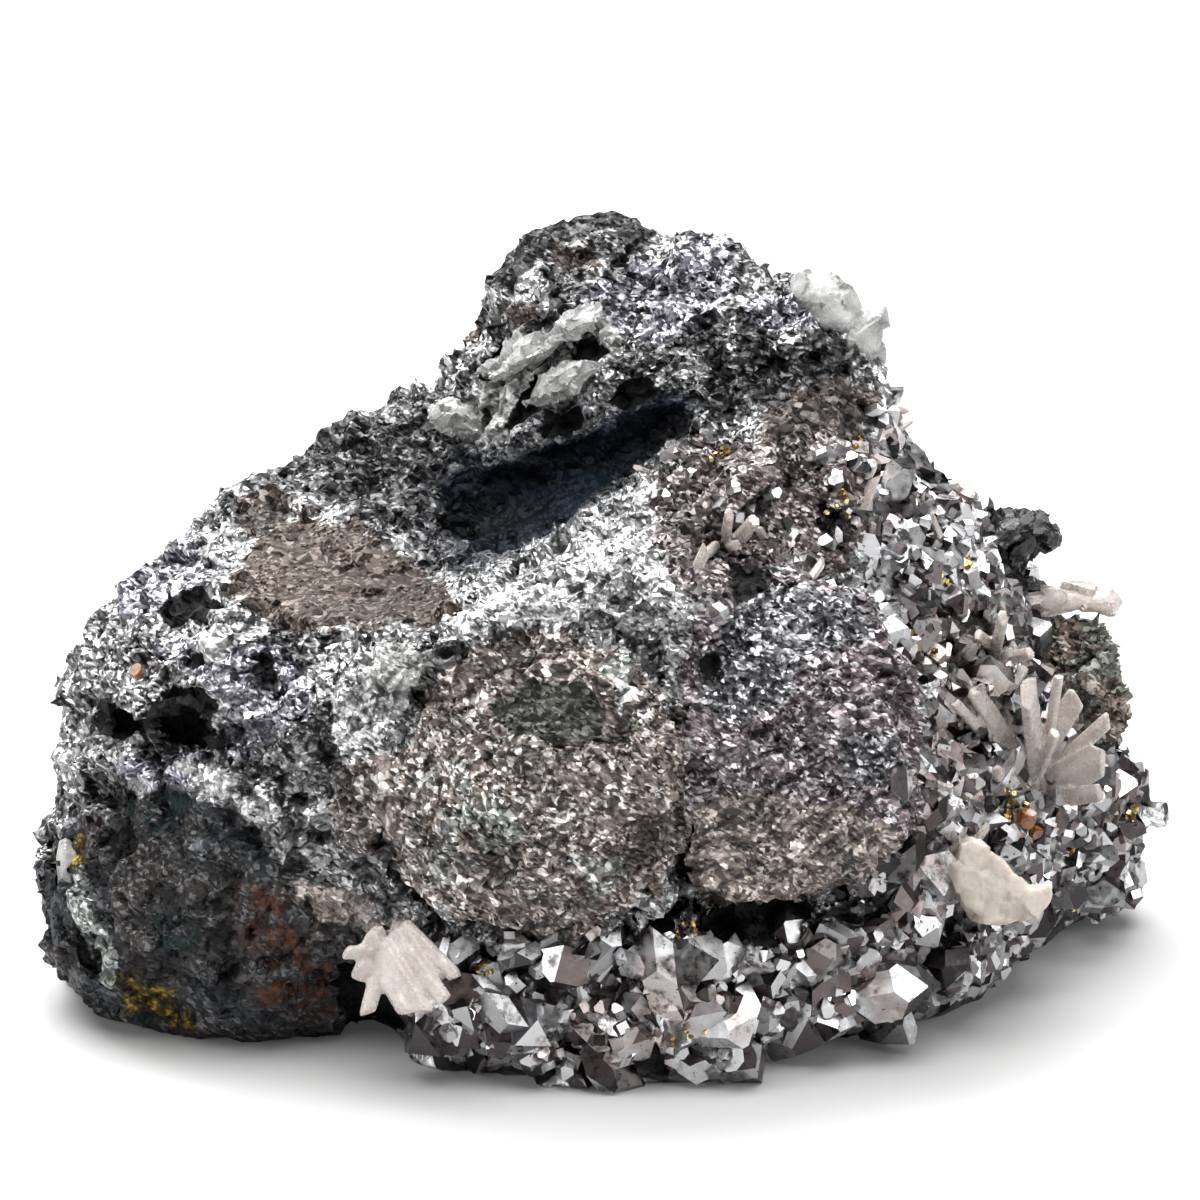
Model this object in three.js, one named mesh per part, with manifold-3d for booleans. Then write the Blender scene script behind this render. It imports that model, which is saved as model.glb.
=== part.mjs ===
// A cabinet specimen of skutterudite: a broken mass of silver-grey ore that carries a crust of
// flat-faced metallic crystals on its front foot and right flank, with quartz, calcite, a dark
// sphalerite lump and a piece of chloritic wall rock grown into it. Millimetres, +Z up, front -Y.
import * as THREE from 'three';
import { ConvexGeometry } from 'three/addons/geometries/ConvexGeometry.js';
import { ConvexHull } from 'three/addons/math/ConvexHull.js';
import { mergeVertices } from 'three/addons/utils/BufferGeometryUtils.js';
import Module from 'manifold-3d';

const wasm = await Module();
wasm.setup();

// Driving dimensions
const GAP = 0.35; // clear space between a grown-in piece and the ore around it
const BASE_LEVEL = 0; // the underside is cut flat here
const LONGEST_EDGE = 11.5; // broken faces are halved until no edge is longer
const CHIP = 0.1; // how far a halving point stands in or out, as a share of its edge
const BULGE = 0.25; // 0 keeps a face flat between its corners, 1 rounds it
const CROWDING = 1.1; // how many sizes apart two neighbouring crystals stand at least
const CUBES = 0.45; // share of the metallic crystals that are cubes, the others are octahedra
const CUBE_SHARE = 1.35; // edge of a cube for a given crystal size
const CUTTER = { side: 400, depth: 60 }; // the block that dresses the underside flat
const HEART = [0, -3, 42]; // the point inside the ore that every corner is seen from

// Corners of the broken ore mass, region by region, as [x, y, z]
const ORE_CORNERS = {
  leftShoulder: [[-70.5, -9, 43], [-67, -7, 47.5], [-64, -4, 51.5], [-58.5, 1, 57], [-53, 6, 60.5], [-45.5, 10, 64.5],
    [-36.5, 15, 68.5], [-27, 18, 72], [-19.5, 17, 76]],
  shoulderDish: [[-55, -10, 56.5], [-46, -6, 60], [-37, -3, 62], [-27, 1, 64], [-49, -19, 56], [-38, -17, 56.5],
    [-28, -13, 57.5], [-42, -27, 53.5], [-31, -25, 55], [-22, -18, 58]],
  leftBlock: [[-70.8, -12, 35], [-63, -16, 51], [-57, -26, 52], [-49, -31, 55], [-64, -23, 45], [-61, -28, 41],
    [-66, -24, 37], [-51, -35, 49], [-45, -38, 47], [-52, -37, 38], [-44, -41, 38], [-37, -42, 43]],
  blockFoot: [[-69.5, -12, 28], [-62, -27, 31.5], [-53, -34.5, 32.5], [-45, -38.5, 32], [-35, -41, 33]],
  lobe: [[-72, -17, 24], [-75, -20, 19], [-73, -24, 12.5], [-69, -28, 5], [-63, -31, 26], [-54, -38, 27.5],
    [-44.5, -40.5, 27], [-61, -30, 3], [-51, -34, 2], [-40, -35, 3.5], [-60, -38, 15], [-50, -43, 15],
    [-42, -42, 15], [-52, -41.5, 22], [-35, -39, 20]],
  lobeGap: [[-30, -38.5, 24], [-29.5, -37, 16], [-30.5, -34, 9], [-29, -33, 3]],
  knob: [[-15.5, 14.5, 81.5], [-16.8, 16, 84.8], [-15, 17, 89], [-12, 18.5, 92.6], [-9.5, 20, 94.6], [-5, 22, 96],
    [0, 24, 96.6], [4.5, 23.5, 96], [-12, 9.5, 84], [-7, 11, 89.5], [0, 14, 91.5], [7.4, 21, 93.4]],
  rightSummit: [[7, 10, 88.5], [12.5, 18, 96], [19, 16, 93.6], [25, 14, 91], [33, 13, 87], [37, 9, 84], [15, 8, 90.5],
    [24, 5, 87], [32, 3, 81], [37.5, 7, 77]],
  ledge: [[-14, 8, 79.5], [-21, 9, 70.5], [-12, 5, 74], [-3, 4, 78], [6, 2, 81.5], [14, 1, 83.5], [24, -2, 79.5]],
  valley: [[-20, 1, 61], [-12, -2, 57.5], [-3, -3, 61.5], [5, -4, 67.5], [13, -5, 74]],
  valleyLip: [[-17, -10, 58.5], [-5, -12.5, 62.5], [5, -12.5, 70], [11, -11, 73]],
  slope: [[-12, -22, 61.5], [-2, -23, 66], [8, -24, 67.5], [20, -13, 72.5], [13, -22, 67.5], [19, -26, 63],
    [31, -8, 68.5], [28, -18, 64]],
  archRim: [[-34, -42.5, 50.5], [-27, -43, 55], [-19, -42, 58.5], [-10, -39, 62.5], [0, -36, 65.8], [7, -35.5, 64],
    [11, -39, 57.5]],
  archGroove: [[-27, -41.5, 48.5], [-20, -40.8, 55], [-10, -39.5, 58.8], [1, -38.5, 60.5], [8, -41, 54]],
  discRim: [[-25, -45, 38.4], [-24.5, -46, 30], [-19, -47.5, 22.4], [-10, -49.5, 18.5], [-1.3, -49.5, 19.8],
    [6, -48.5, 24.2], [8, -48, 33.2], [7.8, -47, 44], [6, -44.5, 51.5], [0, -43.5, 56], [-10, -43.5, 55.5],
    [-18, -43, 51.5], [-23, -44, 45]],
  disc: [[-8, -51.5, 29], [-13, -50.5, 41], [-1, -50.5, 42], [-17, -49, 32], [1, -50.5, 31], [-6, -48, 49]],
  crack: [[10, -39.5, 50], [9.8, -40.5, 41], [9.8, -41, 32], [10.5, -41, 24]],
  rightPlateRim: [[12.5, -43.5, 45], [12, -45.5, 34], [13, -46, 27.5], [21, -46, 26], [29.2, -44, 27.6], [37, -40, 29.5],
    [40, -36.5, 37], [39.5, -33, 47], [36.5, -29.5, 54.4], [29.4, -28.5, 59], [21, -31, 60.5], [13.5, -36, 56]],
  rightPlate: [[26, -41, 41], [19, -43, 36], [31, -38.5, 47.5], [24, -36, 53], [17.5, -38, 49.5]],
  underPlates: [[-19, -43.5, 19], [-9, -45.5, 15], [0, -45.5, 16], [8, -43, 20], [14, -39, 24], [21, -39, 22.5],
    [30, -37, 24], [38, -33, 26]],
  frontFoot: [[-23, -44.5, 11], [-11, -47.5, 9], [0, -48.5, 9], [10, -47.5, 10], [14, -45, 17], [18, -46, 7],
    [24, -41.5, 16], [27, -41, 8], [34, -37.5, 17], [37, -36, 8], [44, -31, 17], [46, -30, 8], [52, -24, 8]],
  upperRight: [[36, 4, 74], [40, 2, 68], [38, -6, 64], [44, 2, 61.5], [35, -16, 58.5], [42, -10, 56], [50, 3, 57]],
  rightFlank: [[51, 12, 59.5], [52, 3, 51], [48, -9, 46], [44, -21, 42], [58, 9, 46], [63, 12, 43.5], [58, -2, 36],
    [53, -16, 32], [47, -27, 27], [65, 12, 39], [68, 13, 33], [70, 12, 27.5], [62, -5, 24], [56, -16, 20], [54, -22, 14], [74, 12, 21.5],
    [75, 11, 15], [68, 3, 16], [62, -7, 14], [70, 7, 9], [65, 1, 7.5], [57, -9, 8]],
  back: [[-8, 33, 88], [8, 34, 90], [20, 27, 90], [33, 22, 79], [40, 16, 68], [37, 24, 66], [-22, 30, 70], [-4, 40, 66], [20, 40, 70],
    [46, 26, 57], [-50, 24, 52], [-32, 33, 55], [-27, 42, 42], [-8, 50, 48], [19, 44, 45], [40, 42, 44],
    [58, 28, 31], [-67, 8, 38], [-63, 24, 27], [-44, 40, 31], [-20, 50, 20], [9, 46, 27], [38, 48, 22],
    [66, 29, 13], [-72, -2, 24], [46, 18, 60]],
  foot: [[-54, -27, -3], [-64, -20, -2], [-38, -28, -2], [-22, -41, -3], [-6, -44, -3], [14, -45, -3], [22, -33, -2],
    [38, -23, -3], [50, -15, -2], [54, -4, -2], [60, 8, -2], [66, 20, -3], [56, 32, -3], [34, 46, -2], [8, 42, -3],
    [-20, 47, -2], [-46, 36, -3], [-62, 18, -2], [-69, -3, -2]],
  underside: [[-28, -22, -4], [4, -26, -4], [30, -8, -4], [-40, 0, -4], [0, 8, -4], [34, 18, -4], [-14, 26, -4]],
};

// Blocky nodules that stand out of the mass, each an ellipsoid chipped to flat faces
const NODULES = [
  { at: [-58, -17, 45], radii: [8.5, 9.5, 7], turn: [0, -0.5, 0], corners: 24, seed: 24 }, // left block, upper
  { at: [-61, -20, 34], radii: [9, 8, 4.6], corners: 22, seed: 25 }, // left block, lower
  { at: [-46, -33, 40], radii: [7, 6, 5.5], turn: [0, 0.4, 0], corners: 22, seed: 26 }, // beside the disc
  { at: [29, -8, 66.5], radii: [8, 9, 8], turn: [0, 0.5, 0], corners: 24, seed: 32 }, // bulge under the summit
];

// Hollows that are broken or weathered out of the ore: two ends and a radius
const HOLLOWS = [
  { from: [-19, 0, 62], to: [-10, 0, 64], radius: 5.6 }, // deep end of the long valley under the summit
  { from: [-10, 0, 64], to: [-1, 0, 68.5], radius: 5 }, // and on along the valley
  { from: [-1, 0, 68.5], to: [9, -1.5, 75], radius: 4 },
  { from: [-54, -21, 53], to: [-55.5, -27, 54], radius: 3.4 }, // dark pocket on the left block
  { from: [-53, -31, 43], to: [-54, -37, 43], radius: 3.2 }, // lower pockets
  { from: [-61, -25, 42], to: [-63.5, -30, 42], radius: 2.6 },
  { from: [-42, -34, 49.5], to: [-43, -39, 51], radius: 2.4 }, // between the block and the arch
  { from: [13, -29, 67.5], to: [20, -25, 69], radius: 3.6 }, // crystal-lined vug on the right
  { from: [14.5, -40, 57], to: [17.5, -35, 62.5], radius: 2.8 }, // black gap beside the front arch
  { from: [-8, 1.5, 81], to: [-5, 0.5, 83], radius: 2 }, // slots between the quartz bands
  { from: [-13, 4, 76.5], to: [-11, 2, 78], radius: 2 },
];

// Narrow clefts, as the blade-shaped gap between two broken plates
const CLEFTS = [
  { from: [9.5, -46, 54], to: [10.5, -50, 38], depth: 8, width: 2.6 },
  { from: [10.5, -50, 39], to: [10, -50, 22], depth: 9, width: 3.4 },
  { from: [-28, -48, 41], to: [-23, -52, 25], depth: 5, width: 2 },
];

// Where the metallic crystals sit: a middle on the surface, how far they scatter, how many and how big
const CRYSTAL_PATCHES = [
  { at: [-12, -48, 6], scatter: [12, 4, 8], count: 12, size: [3.4, 5.4] },
  { at: [12, -48, 9], scatter: [12, 4, 8], count: 13, size: [3.4, 5.4] },
  { at: [36, -38, 13], scatter: [13, 8, 9], count: 14, size: [3.2, 4.8] },
  { at: [54, -18, 20], scatter: [8, 12, 12], count: 14, size: [3, 4.4] },
  { at: [68, 4, 14], scatter: [6, 12, 9], count: 8, size: [2.6, 3.8] },
  { at: [70, 6, 24], scatter: [4, 6, 8], count: 6, size: [2.2, 3.2] },
  { at: [50, -6, 47], scatter: [6, 9, 7], count: 9, size: [2.6, 4] },
  { at: [38, -4, 63], scatter: [4, 8, 7], count: 7, size: [2.2, 3.4] },
];

// Quartz prisms, each from its buried root to its tip, with its radius
const QUARTZ_SPRAY = [
  { root: [58, -6, 26], tip: [56, -15, 44], radius: 2.5 },
  { root: [57, -6, 27], tip: [48, -18, 43], radius: 1.8 },
  { root: [55, -8, 27], tip: [42.5, -23, 41], radius: 2.4 },
  { root: [57, -4, 28], tip: [59.5, -12, 42], radius: 1.1 },
  { root: [58, -5, 26], tip: [66.5, -10, 37], radius: 1.5 },
  { root: [58, -6, 25], tip: [68, -12, 33], radius: 2.3 },
  { root: [57, -5, 28], tip: [63.5, -8, 38], radius: 1.4 },
  { root: [58, -6, 24], tip: [66.5, -15, 28.5], radius: 1.2 },
];
const QUARTZ_FINGERS = [
  { root: [-24, -43, 21], tip: [-28.5, -52, 11.5], radius: 1.9 },
  { root: [-22, -45, 18], tip: [-33, -50, 19.5], radius: 1.3 },
  { root: [-25, -42, 20], tip: [-19, -56, 11], radius: 1.7 },
  { root: [-22, -43, 20], tip: [-24, -54, 16], radius: 2.6 },
  { root: [-24, -44, 18], tip: [-17, -54.5, 15], radius: 2.2 },
];
const UPPER_PRISMS = [
  { root: [52, -2, 42.5], tip: [52.4, -15, 53], radius: 1.3 },
  { root: [52, -2, 44], tip: [49, -14, 50], radius: 1 },
  { root: [53, -1, 42], tip: [56.5, -13, 47], radius: 1.1 },
];
const VUG_PRISMS = [
  { root: [16, -18, 63], tip: [16.5, -27.5, 71], radius: 1.4 },
  { root: [17, -18, 63], tip: [20, -27, 69.5], radius: 1.3 },
  { root: [16, -18, 64], tip: [13, -28, 65], radius: 1.1 },
];

// A repeatable stream of numbers from 0 to 1
function seededRandom(seed) {
  let state = seed;
  return () => {
    state = (state + 0x6d2b79f5) | 0;
    let mixed = Math.imul(state ^ (state >>> 15), 1 | state);
    mixed = (mixed + Math.imul(mixed ^ (mixed >>> 7), 61 | mixed)) ^ mixed;
    return ((mixed ^ (mixed >>> 14)) >>> 0) / 4294967296;
  };
}

const vector = (xyz) => new THREE.Vector3(...xyz);
const within = (random, low, high) => low + (high - low) * random();

// A manifold solid from a closed geometry, once its shared vertices are one
function toSolid(geometry) {
  const bare = geometry.clone();
  bare.deleteAttribute('normal');
  bare.deleteAttribute('uv');
  const merged = mergeVertices(bare, 1e-4);
  const corners = merged.index.array;
  const triVerts = [];
  for (let i = 0; i < corners.length; i += 3) {
    const [a, b, c] = corners.slice(i, i + 3);
    if (a !== b && b !== c && c !== a) triVerts.push(a, b, c);
  }
  return new wasm.Manifold(new wasm.Mesh({
    numProp: 3,
    vertProperties: Float32Array.from(merged.attributes.position.array),
    triVerts: Uint32Array.from(triVerts),
  }));
}

function toGeometry(solid) {
  const mesh = solid.getMesh();
  const geometry = new THREE.BufferGeometry();
  geometry.setAttribute('position', new THREE.BufferAttribute(mesh.vertProperties, 3));
  geometry.setIndex(new THREE.BufferAttribute(mesh.triVerts, 1));
  geometry.computeVertexNormals();
  return geometry;
}

const join = (solids) => solids.reduce((whole, solid) => whole.add(solid));

// The one connected piece that matters, without the splinters that a cut can free
function largestPiece(solid) {
  return solid.decompose().reduce((best, piece) => (piece.volume() > best.volume() ? piece : best));
}

// Halves every long edge of a skin, and sets each new point a little in or out from the heart
function splitFaces({ points, faces }, random) {
  const halfway = new Map();
  const middle = (a, b) => {
    const key = a < b ? `${a}_${b}` : `${b}_${a}`;
    if (!halfway.has(key)) {
      const [p, q] = [points[a], points[b]];
      const edge = p.distanceTo(q);
      let added = -1;
      if (edge > LONGEST_EDGE) {
        const point = p.clone().add(q).multiplyScalar(0.5);
        const rounded = (p.length() + q.length()) / 2;
        const reach = THREE.MathUtils.lerp(point.length(), rounded, BULGE);
        point.setLength(reach + CHIP * edge * within(random, -1, 1));
        added = points.push(point) - 1;
      }
      halfway.set(key, added);
    }
    return halfway.get(key);
  };
  return faces.flatMap(([a, b, c]) => {
    const sides = [middle(a, b), middle(b, c), middle(c, a)];
    const cuts = sides.filter((side) => side >= 0).length;
    if (cuts === 0) return [[a, b, c]];
    if (cuts === 3) {
      const [ab, bc, ca] = sides;
      return [[a, ab, ca], [ab, b, bc], [ca, bc, c], [ab, bc, ca]];
    }
    // Turned so that the first side is cut, and with two cuts the third side is whole
    const first = sides.findIndex((side, i) => side >= 0 && (cuts === 1 || sides[(i + 2) % 3] < 0));
    const [p, q, r] = [0, 1, 2].map((step) => [a, b, c][(first + step) % 3]);
    const [pq, qr] = [sides[first], sides[(first + 1) % 3]];
    return cuts === 1 ? [[p, pq, r], [pq, q, r]] : [[p, pq, r], [pq, qr, r], [pq, q, qr]];
  });
}

// A closed, broken-looking skin through hand-placed corners, each joined to its neighbours as seen
// from the heart of the mass
function rockGeometry(corners, heart, random) {
  const centre = vector(heart);
  const arms = corners.map((corner) => vector(corner).sub(centre));
  const directions = arms.map((arm) => arm.clone().normalize());
  const hull = new ConvexHull().setFromPoints(directions);
  let faces = hull.faces.map(({ edge }) => (
    [edge, edge.next, edge.next.next].map((side) => directions.indexOf(side.head().point))
  ));
  let finer = splitFaces({ points: arms, faces }, random);
  while (finer.length > faces.length) {
    faces = finer;
    finer = splitFaces({ points: arms, faces }, random);
  }
  const geometry = new THREE.BufferGeometry();
  geometry.setFromPoints(arms);
  geometry.setIndex(faces.flat());
  geometry.translate(...heart);
  return geometry;
}

// A chipped lump: the hull of points scattered evenly over an ellipsoid
function lumpGeometry({ at, radii, turn = [0, 0, 0], corners = 26, seed = 1 }, gap = 0) {
  const random = seededRandom(seed);
  const golden = Math.PI * (3 - Math.sqrt(5));
  const points = Array.from({ length: corners }, (_, i) => {
    const height = 1 - (2 * i + 1) / corners;
    const ring = Math.sqrt(1 - height * height);
    const angle = i * golden + within(random, -0.3, 0.3);
    const reach = within(random, 0.84, 1.1);
    return new THREE.Vector3(ring * Math.cos(angle), ring * Math.sin(angle), height)
      .multiply(vector(radii).multiplyScalar(reach).addScalar(gap));
  });
  const geometry = new ConvexGeometry(points);
  geometry.applyQuaternion(new THREE.Quaternion().setFromEuler(new THREE.Euler(...turn)));
  return geometry.translate(...at);
}

// A rounded run between two points, chipped as the rest
function runSolid(from, to, radius, random) {
  const ends = [from, to].flatMap((end) => (
    Array.from({ length: 16 }, () => (
      new THREE.Vector3(within(random, -1, 1), within(random, -1, 1), within(random, -1, 1))
        .setLength(radius * within(random, 0.85, 1.12))
        .add(vector(end))
    ))
  ));
  return toSolid(new ConvexGeometry(ends));
}

// A blade-shaped cut: widest at the surface, closing to an edge inside
function cleftSolid({ from, to, depth, width }) {
  const [top, foot] = [vector(from), vector(to)];
  const points = [top, foot].flatMap((end) => [
    end.clone().add(new THREE.Vector3(-width / 2, -depth / 3, 0)),
    end.clone().add(new THREE.Vector3(width / 2, -depth / 3, 0)),
    end.clone().add(new THREE.Vector3(0, depth, 0)),
  ]);
  points.push(top.clone().lerp(foot, 0.5).add(new THREE.Vector3(width, 0, 0)));
  return toSolid(new ConvexGeometry(points));
}

// A metallic crystal, a cube or an octahedron as skutterudite grows, stretched and turned at random
function crystalSolid(centre, size, random) {
  const edge = size * CUBE_SHARE;
  const habit = random() < CUBES ? new THREE.BoxGeometry(edge, edge, edge) : new THREE.OctahedronGeometry(size);
  habit.scale(1, within(random, 0.7, 1.05), within(random, 0.7, 1.05));
  habit.applyQuaternion(new THREE.Quaternion().setFromEuler(
    new THREE.Euler(within(random, 0, Math.PI), within(random, 0, Math.PI), within(random, 0, Math.PI)),
  ));
  return toSolid(habit.translate(centre.x, centre.y, centre.z));
}

// A six-sided quartz crystal with a pointed end
function prismSolid({ root, tip, radius }, gap = 0) {
  const axis = vector(tip).sub(vector(root));
  const length = axis.length();
  const reach = radius + gap;
  const points = [new THREE.Vector3(0, length + gap, 0)];
  for (let side = 0; side < 6; side += 1) {
    const angle = (side * Math.PI) / 3;
    const [x, z] = [reach * Math.cos(angle), reach * Math.sin(angle)];
    const shoulder = length - radius * (side % 2 ? 1.5 : 1.1);
    points.push(new THREE.Vector3(x * 0.85, -gap, z * 0.85));
    points.push(new THREE.Vector3(x, shoulder, z));
  }
  const geometry = new ConvexGeometry(points);
  geometry.applyQuaternion(new THREE.Quaternion().setFromUnitVectors(
    new THREE.Vector3(0, 1, 0),
    axis.normalize(),
  ));
  geometry.translate(...root);
  return toSolid(geometry);
}

const prismCluster = (prisms) => (gap) => join(prisms.map((prism) => prismSolid(prism, gap)));
const lumpCluster = (lumps) => (gap) => join(lumps.map((lump) => toSolid(lumpGeometry(lump, gap))));

// The pieces that grew into the ore. Each is a function of the gap, so that the same form makes
// both the piece and the slightly larger socket around it.
const GROWN_IN = {
  quartz_spray: prismCluster(QUARTZ_SPRAY),
  quartz_fingers: prismCluster(QUARTZ_FINGERS),
  quartz_upper_prisms: prismCluster(UPPER_PRISMS),
  quartz_vug_prisms: prismCluster(VUG_PRISMS),
  quartz_band_upper: lumpCluster([
    { at: [-10.5, 7.5, 81.5], radii: [8, 5, 2.9], turn: [0, -0.55, 0], corners: 20, seed: 3 },
    { at: [-3, 7, 86], radii: [5, 4.4, 2.6], turn: [0, -0.5, 0], corners: 18, seed: 4 },
  ]),
  quartz_band_lower: lumpCluster([
    { at: [-5.5, 4, 78.6], radii: [6.5, 4.4, 2.8], turn: [0, -0.62, 0], corners: 20, seed: 5 },
  ]),
  quartz_band_left: lumpCluster([
    { at: [-19, 8, 73], radii: [5, 4, 3.4], turn: [0, 0.4, 0], corners: 20, seed: 6 },
  ]),
  quartz_cap: lumpCluster([
    { at: [30.5, 12, 87.2], radii: [6, 5, 4], turn: [0, 0.5, 0], corners: 20, seed: 7 },
    { at: [35.5, 10, 83], radii: [3.2, 4, 5], turn: [0, 0.2, 0], corners: 18, seed: 8 },
  ]),
  quartz_ledge: lumpCluster([
    { at: [61.5, 11, 46.5], radii: [8.5, 3.8, 2.1], turn: [0, -0.05, 0], corners: 22, seed: 9 },
    { at: [67.5, 12, 45.8], radii: [2.6, 2.8, 2.4], corners: 16, seed: 10 },
  ]),
  quartz_strip: lumpCluster([
    { at: [-68.5, -23, 19], radii: [2, 4, 6.5], turn: [0, -0.25, 0], seed: 11 },
    { at: [-65, -30, 11.5], radii: [2.6, 4, 5], turn: [0, -0.4, 0], seed: 12 },
  ]),
  calcite_blade: lumpCluster([
    { at: [49.5, -31, 24], radii: [4.6, 5.5, 4.2], turn: [0, 0.6, 0], corners: 24, seed: 13 },
    { at: [53.5, -31, 22], radii: [4.2, 4.4, 2], turn: [0, 0.1, 0.2], corners: 20, seed: 14 },
  ]),
  sphalerite_lump: lumpCluster([
    { at: [55, 13, 54], radii: [5.5, 6, 4.6], seed: 15, corners: 18 },
    { at: [58, 14, 55.5], radii: [3, 3.6, 2.4], seed: 16, corners: 12 },
    { at: [54, 12, 49], radii: [4.6, 5, 4], seed: 17, corners: 14 },
  ]),
  wall_rock: lumpCluster([
    { at: [64, 9.5, 39], radii: [6.4, 8, 5.6], turn: [0.2, 0.3, 0], seed: 18, corners: 24 },
    { at: [67, 9, 32], radii: [4.6, 7, 5], seed: 19, corners: 20 },
  ]),
};

// Crystals seated on the ore: each is aimed from the heart at a place in its patch, and kept where
// it has room beside its neighbours
function crystalCrust(rock, random) {
  const surface = new THREE.Mesh(rock, new THREE.MeshBasicMaterial({ side: THREE.DoubleSide }));
  const ray = new THREE.Raycaster();
  const seated = [];
  for (const { at, scatter, count, size } of CRYSTAL_PATCHES) {
    const wanted = seated.length + count;
    for (let tries = 0; tries < count * 12 && seated.length < wanted; tries += 1) {
      const aim = vector(at.map((middle, axis) => middle + scatter[axis] * within(random, -1, 1)));
      ray.set(vector(HEART), aim.sub(vector(HEART)).normalize());
      const { point } = ray.intersectObject(surface).at(-1);
      const reach = within(random, ...size);
      const crowded = seated.some((other) => other.point.distanceTo(point) < CROWDING * reach);
      if (!crowded) seated.push({ point, reach });
    }
  }
  return join(seated.map(({ point, reach }) => crystalSolid(point, reach, random)));
}

function oreSolid() {
  const random = seededRandom(7);
  const skin = toSolid(rockGeometry(Object.values(ORE_CORNERS).flat(), HEART, random));
  let rock = skin.add(join(NODULES.map((nodule) => toSolid(lumpGeometry(nodule)))));
  HOLLOWS.forEach(({ from, to, radius }, index) => {
    rock = rock.subtract(runSolid(from, to, radius, seededRandom(40 + index)));
  });
  for (const cleft of CLEFTS) rock = rock.subtract(cleftSolid(cleft));
  return rock.add(crystalCrust(toGeometry(rock), random));
}

// Everything under the base level, which is cut away so that the specimen rests flat
function belowBase() {
  const slab = new THREE.BoxGeometry(CUTTER.side, CUTTER.side, CUTTER.depth);
  slab.translate(0, 0, BASE_LEVEL - CUTTER.depth / 2);
  return toSolid(slab);
}

const FINISHES = {
  ore: { color: 0x8f9094, roughness: 0.45, metalness: 0.85 },
  quartz: { color: 0xd9d4cc, roughness: 0.3, metalness: 0 },
  calcite: { color: 0xe6dcc6, roughness: 0.5, metalness: 0 },
  sphalerite: { color: 0x26262a, roughness: 0.5, metalness: 0.2 },
  wallRock: { color: 0x6d7466, roughness: 0.8, metalness: 0 },
};

function finishOf(name) {
  if (name.startsWith('quartz')) return FINISHES.quartz;
  if (name.startsWith('calcite')) return FINISHES.calcite;
  if (name.startsWith('sphalerite')) return FINISHES.sphalerite;
  if (name.startsWith('wall')) return FINISHES.wallRock;
  return FINISHES.ore;
}

function makeMesh(name, solid) {
  const mesh = new THREE.Mesh(toGeometry(solid), new THREE.MeshStandardMaterial(finishOf(name)));
  mesh.name = name;
  return mesh;
}

const specimen = new THREE.Group();
const floorCut = belowBase();
let ore = oreSolid();
let taken = null;
for (const [name, grow] of Object.entries(GROWN_IN)) {
  const whole = grow(0).subtract(floorCut);
  specimen.add(makeMesh(name, largestPiece(taken ? whole.subtract(taken) : whole)));
  const socket = grow(GAP);
  ore = ore.subtract(socket);
  taken = taken ? taken.add(socket) : socket;
}
specimen.add(makeMesh('ore_body', largestPiece(ore.subtract(floorCut))));

// The origin is the middle of the specimen's footprint, at the surface it rests on
const extent = new THREE.Box3().setFromObject(specimen);
const middle = extent.getCenter(new THREE.Vector3());
specimen.position.set(-middle.x, -middle.y, -extent.min.z);

export default specimen;
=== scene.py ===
import math

import bpy
import numpy as np
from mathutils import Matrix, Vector
from mathutils.bvhtree import BVHTree
from mathutils.noise import turbulence


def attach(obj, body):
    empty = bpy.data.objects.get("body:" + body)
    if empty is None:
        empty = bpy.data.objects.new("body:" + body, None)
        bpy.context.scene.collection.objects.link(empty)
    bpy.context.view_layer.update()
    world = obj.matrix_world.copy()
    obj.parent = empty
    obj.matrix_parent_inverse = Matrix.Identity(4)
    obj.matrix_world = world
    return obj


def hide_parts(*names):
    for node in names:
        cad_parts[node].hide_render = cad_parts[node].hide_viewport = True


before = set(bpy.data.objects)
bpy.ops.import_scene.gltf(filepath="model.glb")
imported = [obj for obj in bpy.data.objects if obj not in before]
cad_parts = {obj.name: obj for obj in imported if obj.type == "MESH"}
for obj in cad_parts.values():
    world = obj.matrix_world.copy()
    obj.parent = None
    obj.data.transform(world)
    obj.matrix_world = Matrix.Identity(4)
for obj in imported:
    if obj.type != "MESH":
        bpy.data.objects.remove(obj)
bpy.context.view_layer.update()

# Camera
# It stands 0.9 m from the specimen and looks down on it by 18 degrees, square to its broad side,
# through a long lens, as a stone is usually photographed on a table.
MM = 0.001
ORE_MIDDLE = Vector((-1.03, 1.56, 0)) * MM
camera_distance = 0.9
camera_lift = math.radians(18)
look_at = ORE_MIDDLE + Vector((0, 0, 50)) * MM
ahead = Vector((0, math.cos(camera_lift), -math.sin(camera_lift)))
upward = Vector((0, math.sin(camera_lift), math.cos(camera_lift)))
eye = look_at - camera_distance * ahead
bpy.ops.object.camera_add(location=eye, rotation=(math.pi / 2 - camera_lift, 0, 0))
camera = bpy.context.object
camera.name = "camera"
camera.data.sensor_width = 36
camera.data.lens = 204.5
camera.data.clip_start = 0.05
bpy.context.scene.camera = camera
bpy.context.scene.view_settings.view_transform = "Standard"

# Table top
# A wide sheet of matt white board that the specimen stands on. It reaches far behind, so that the
# background is as white as the floor, and only the shadow near the specimen is grey.


def fill(tree, node, inputs):
    """Fills a node's inputs with values or links."""
    for name, value in inputs.items():
        if isinstance(value, bpy.types.NodeSocket):
            tree.links.new(value, node.inputs[name])
        else:
            node.inputs[name].default_value = value


def place(tree, kind, inputs=None, **settings):
    """Adds a node of this kind with its options and its inputs."""
    made = tree.nodes.new(kind)
    for name, value in settings.items():
        setattr(made, name, value)
    fill(tree, made, inputs or {})
    return made


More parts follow.
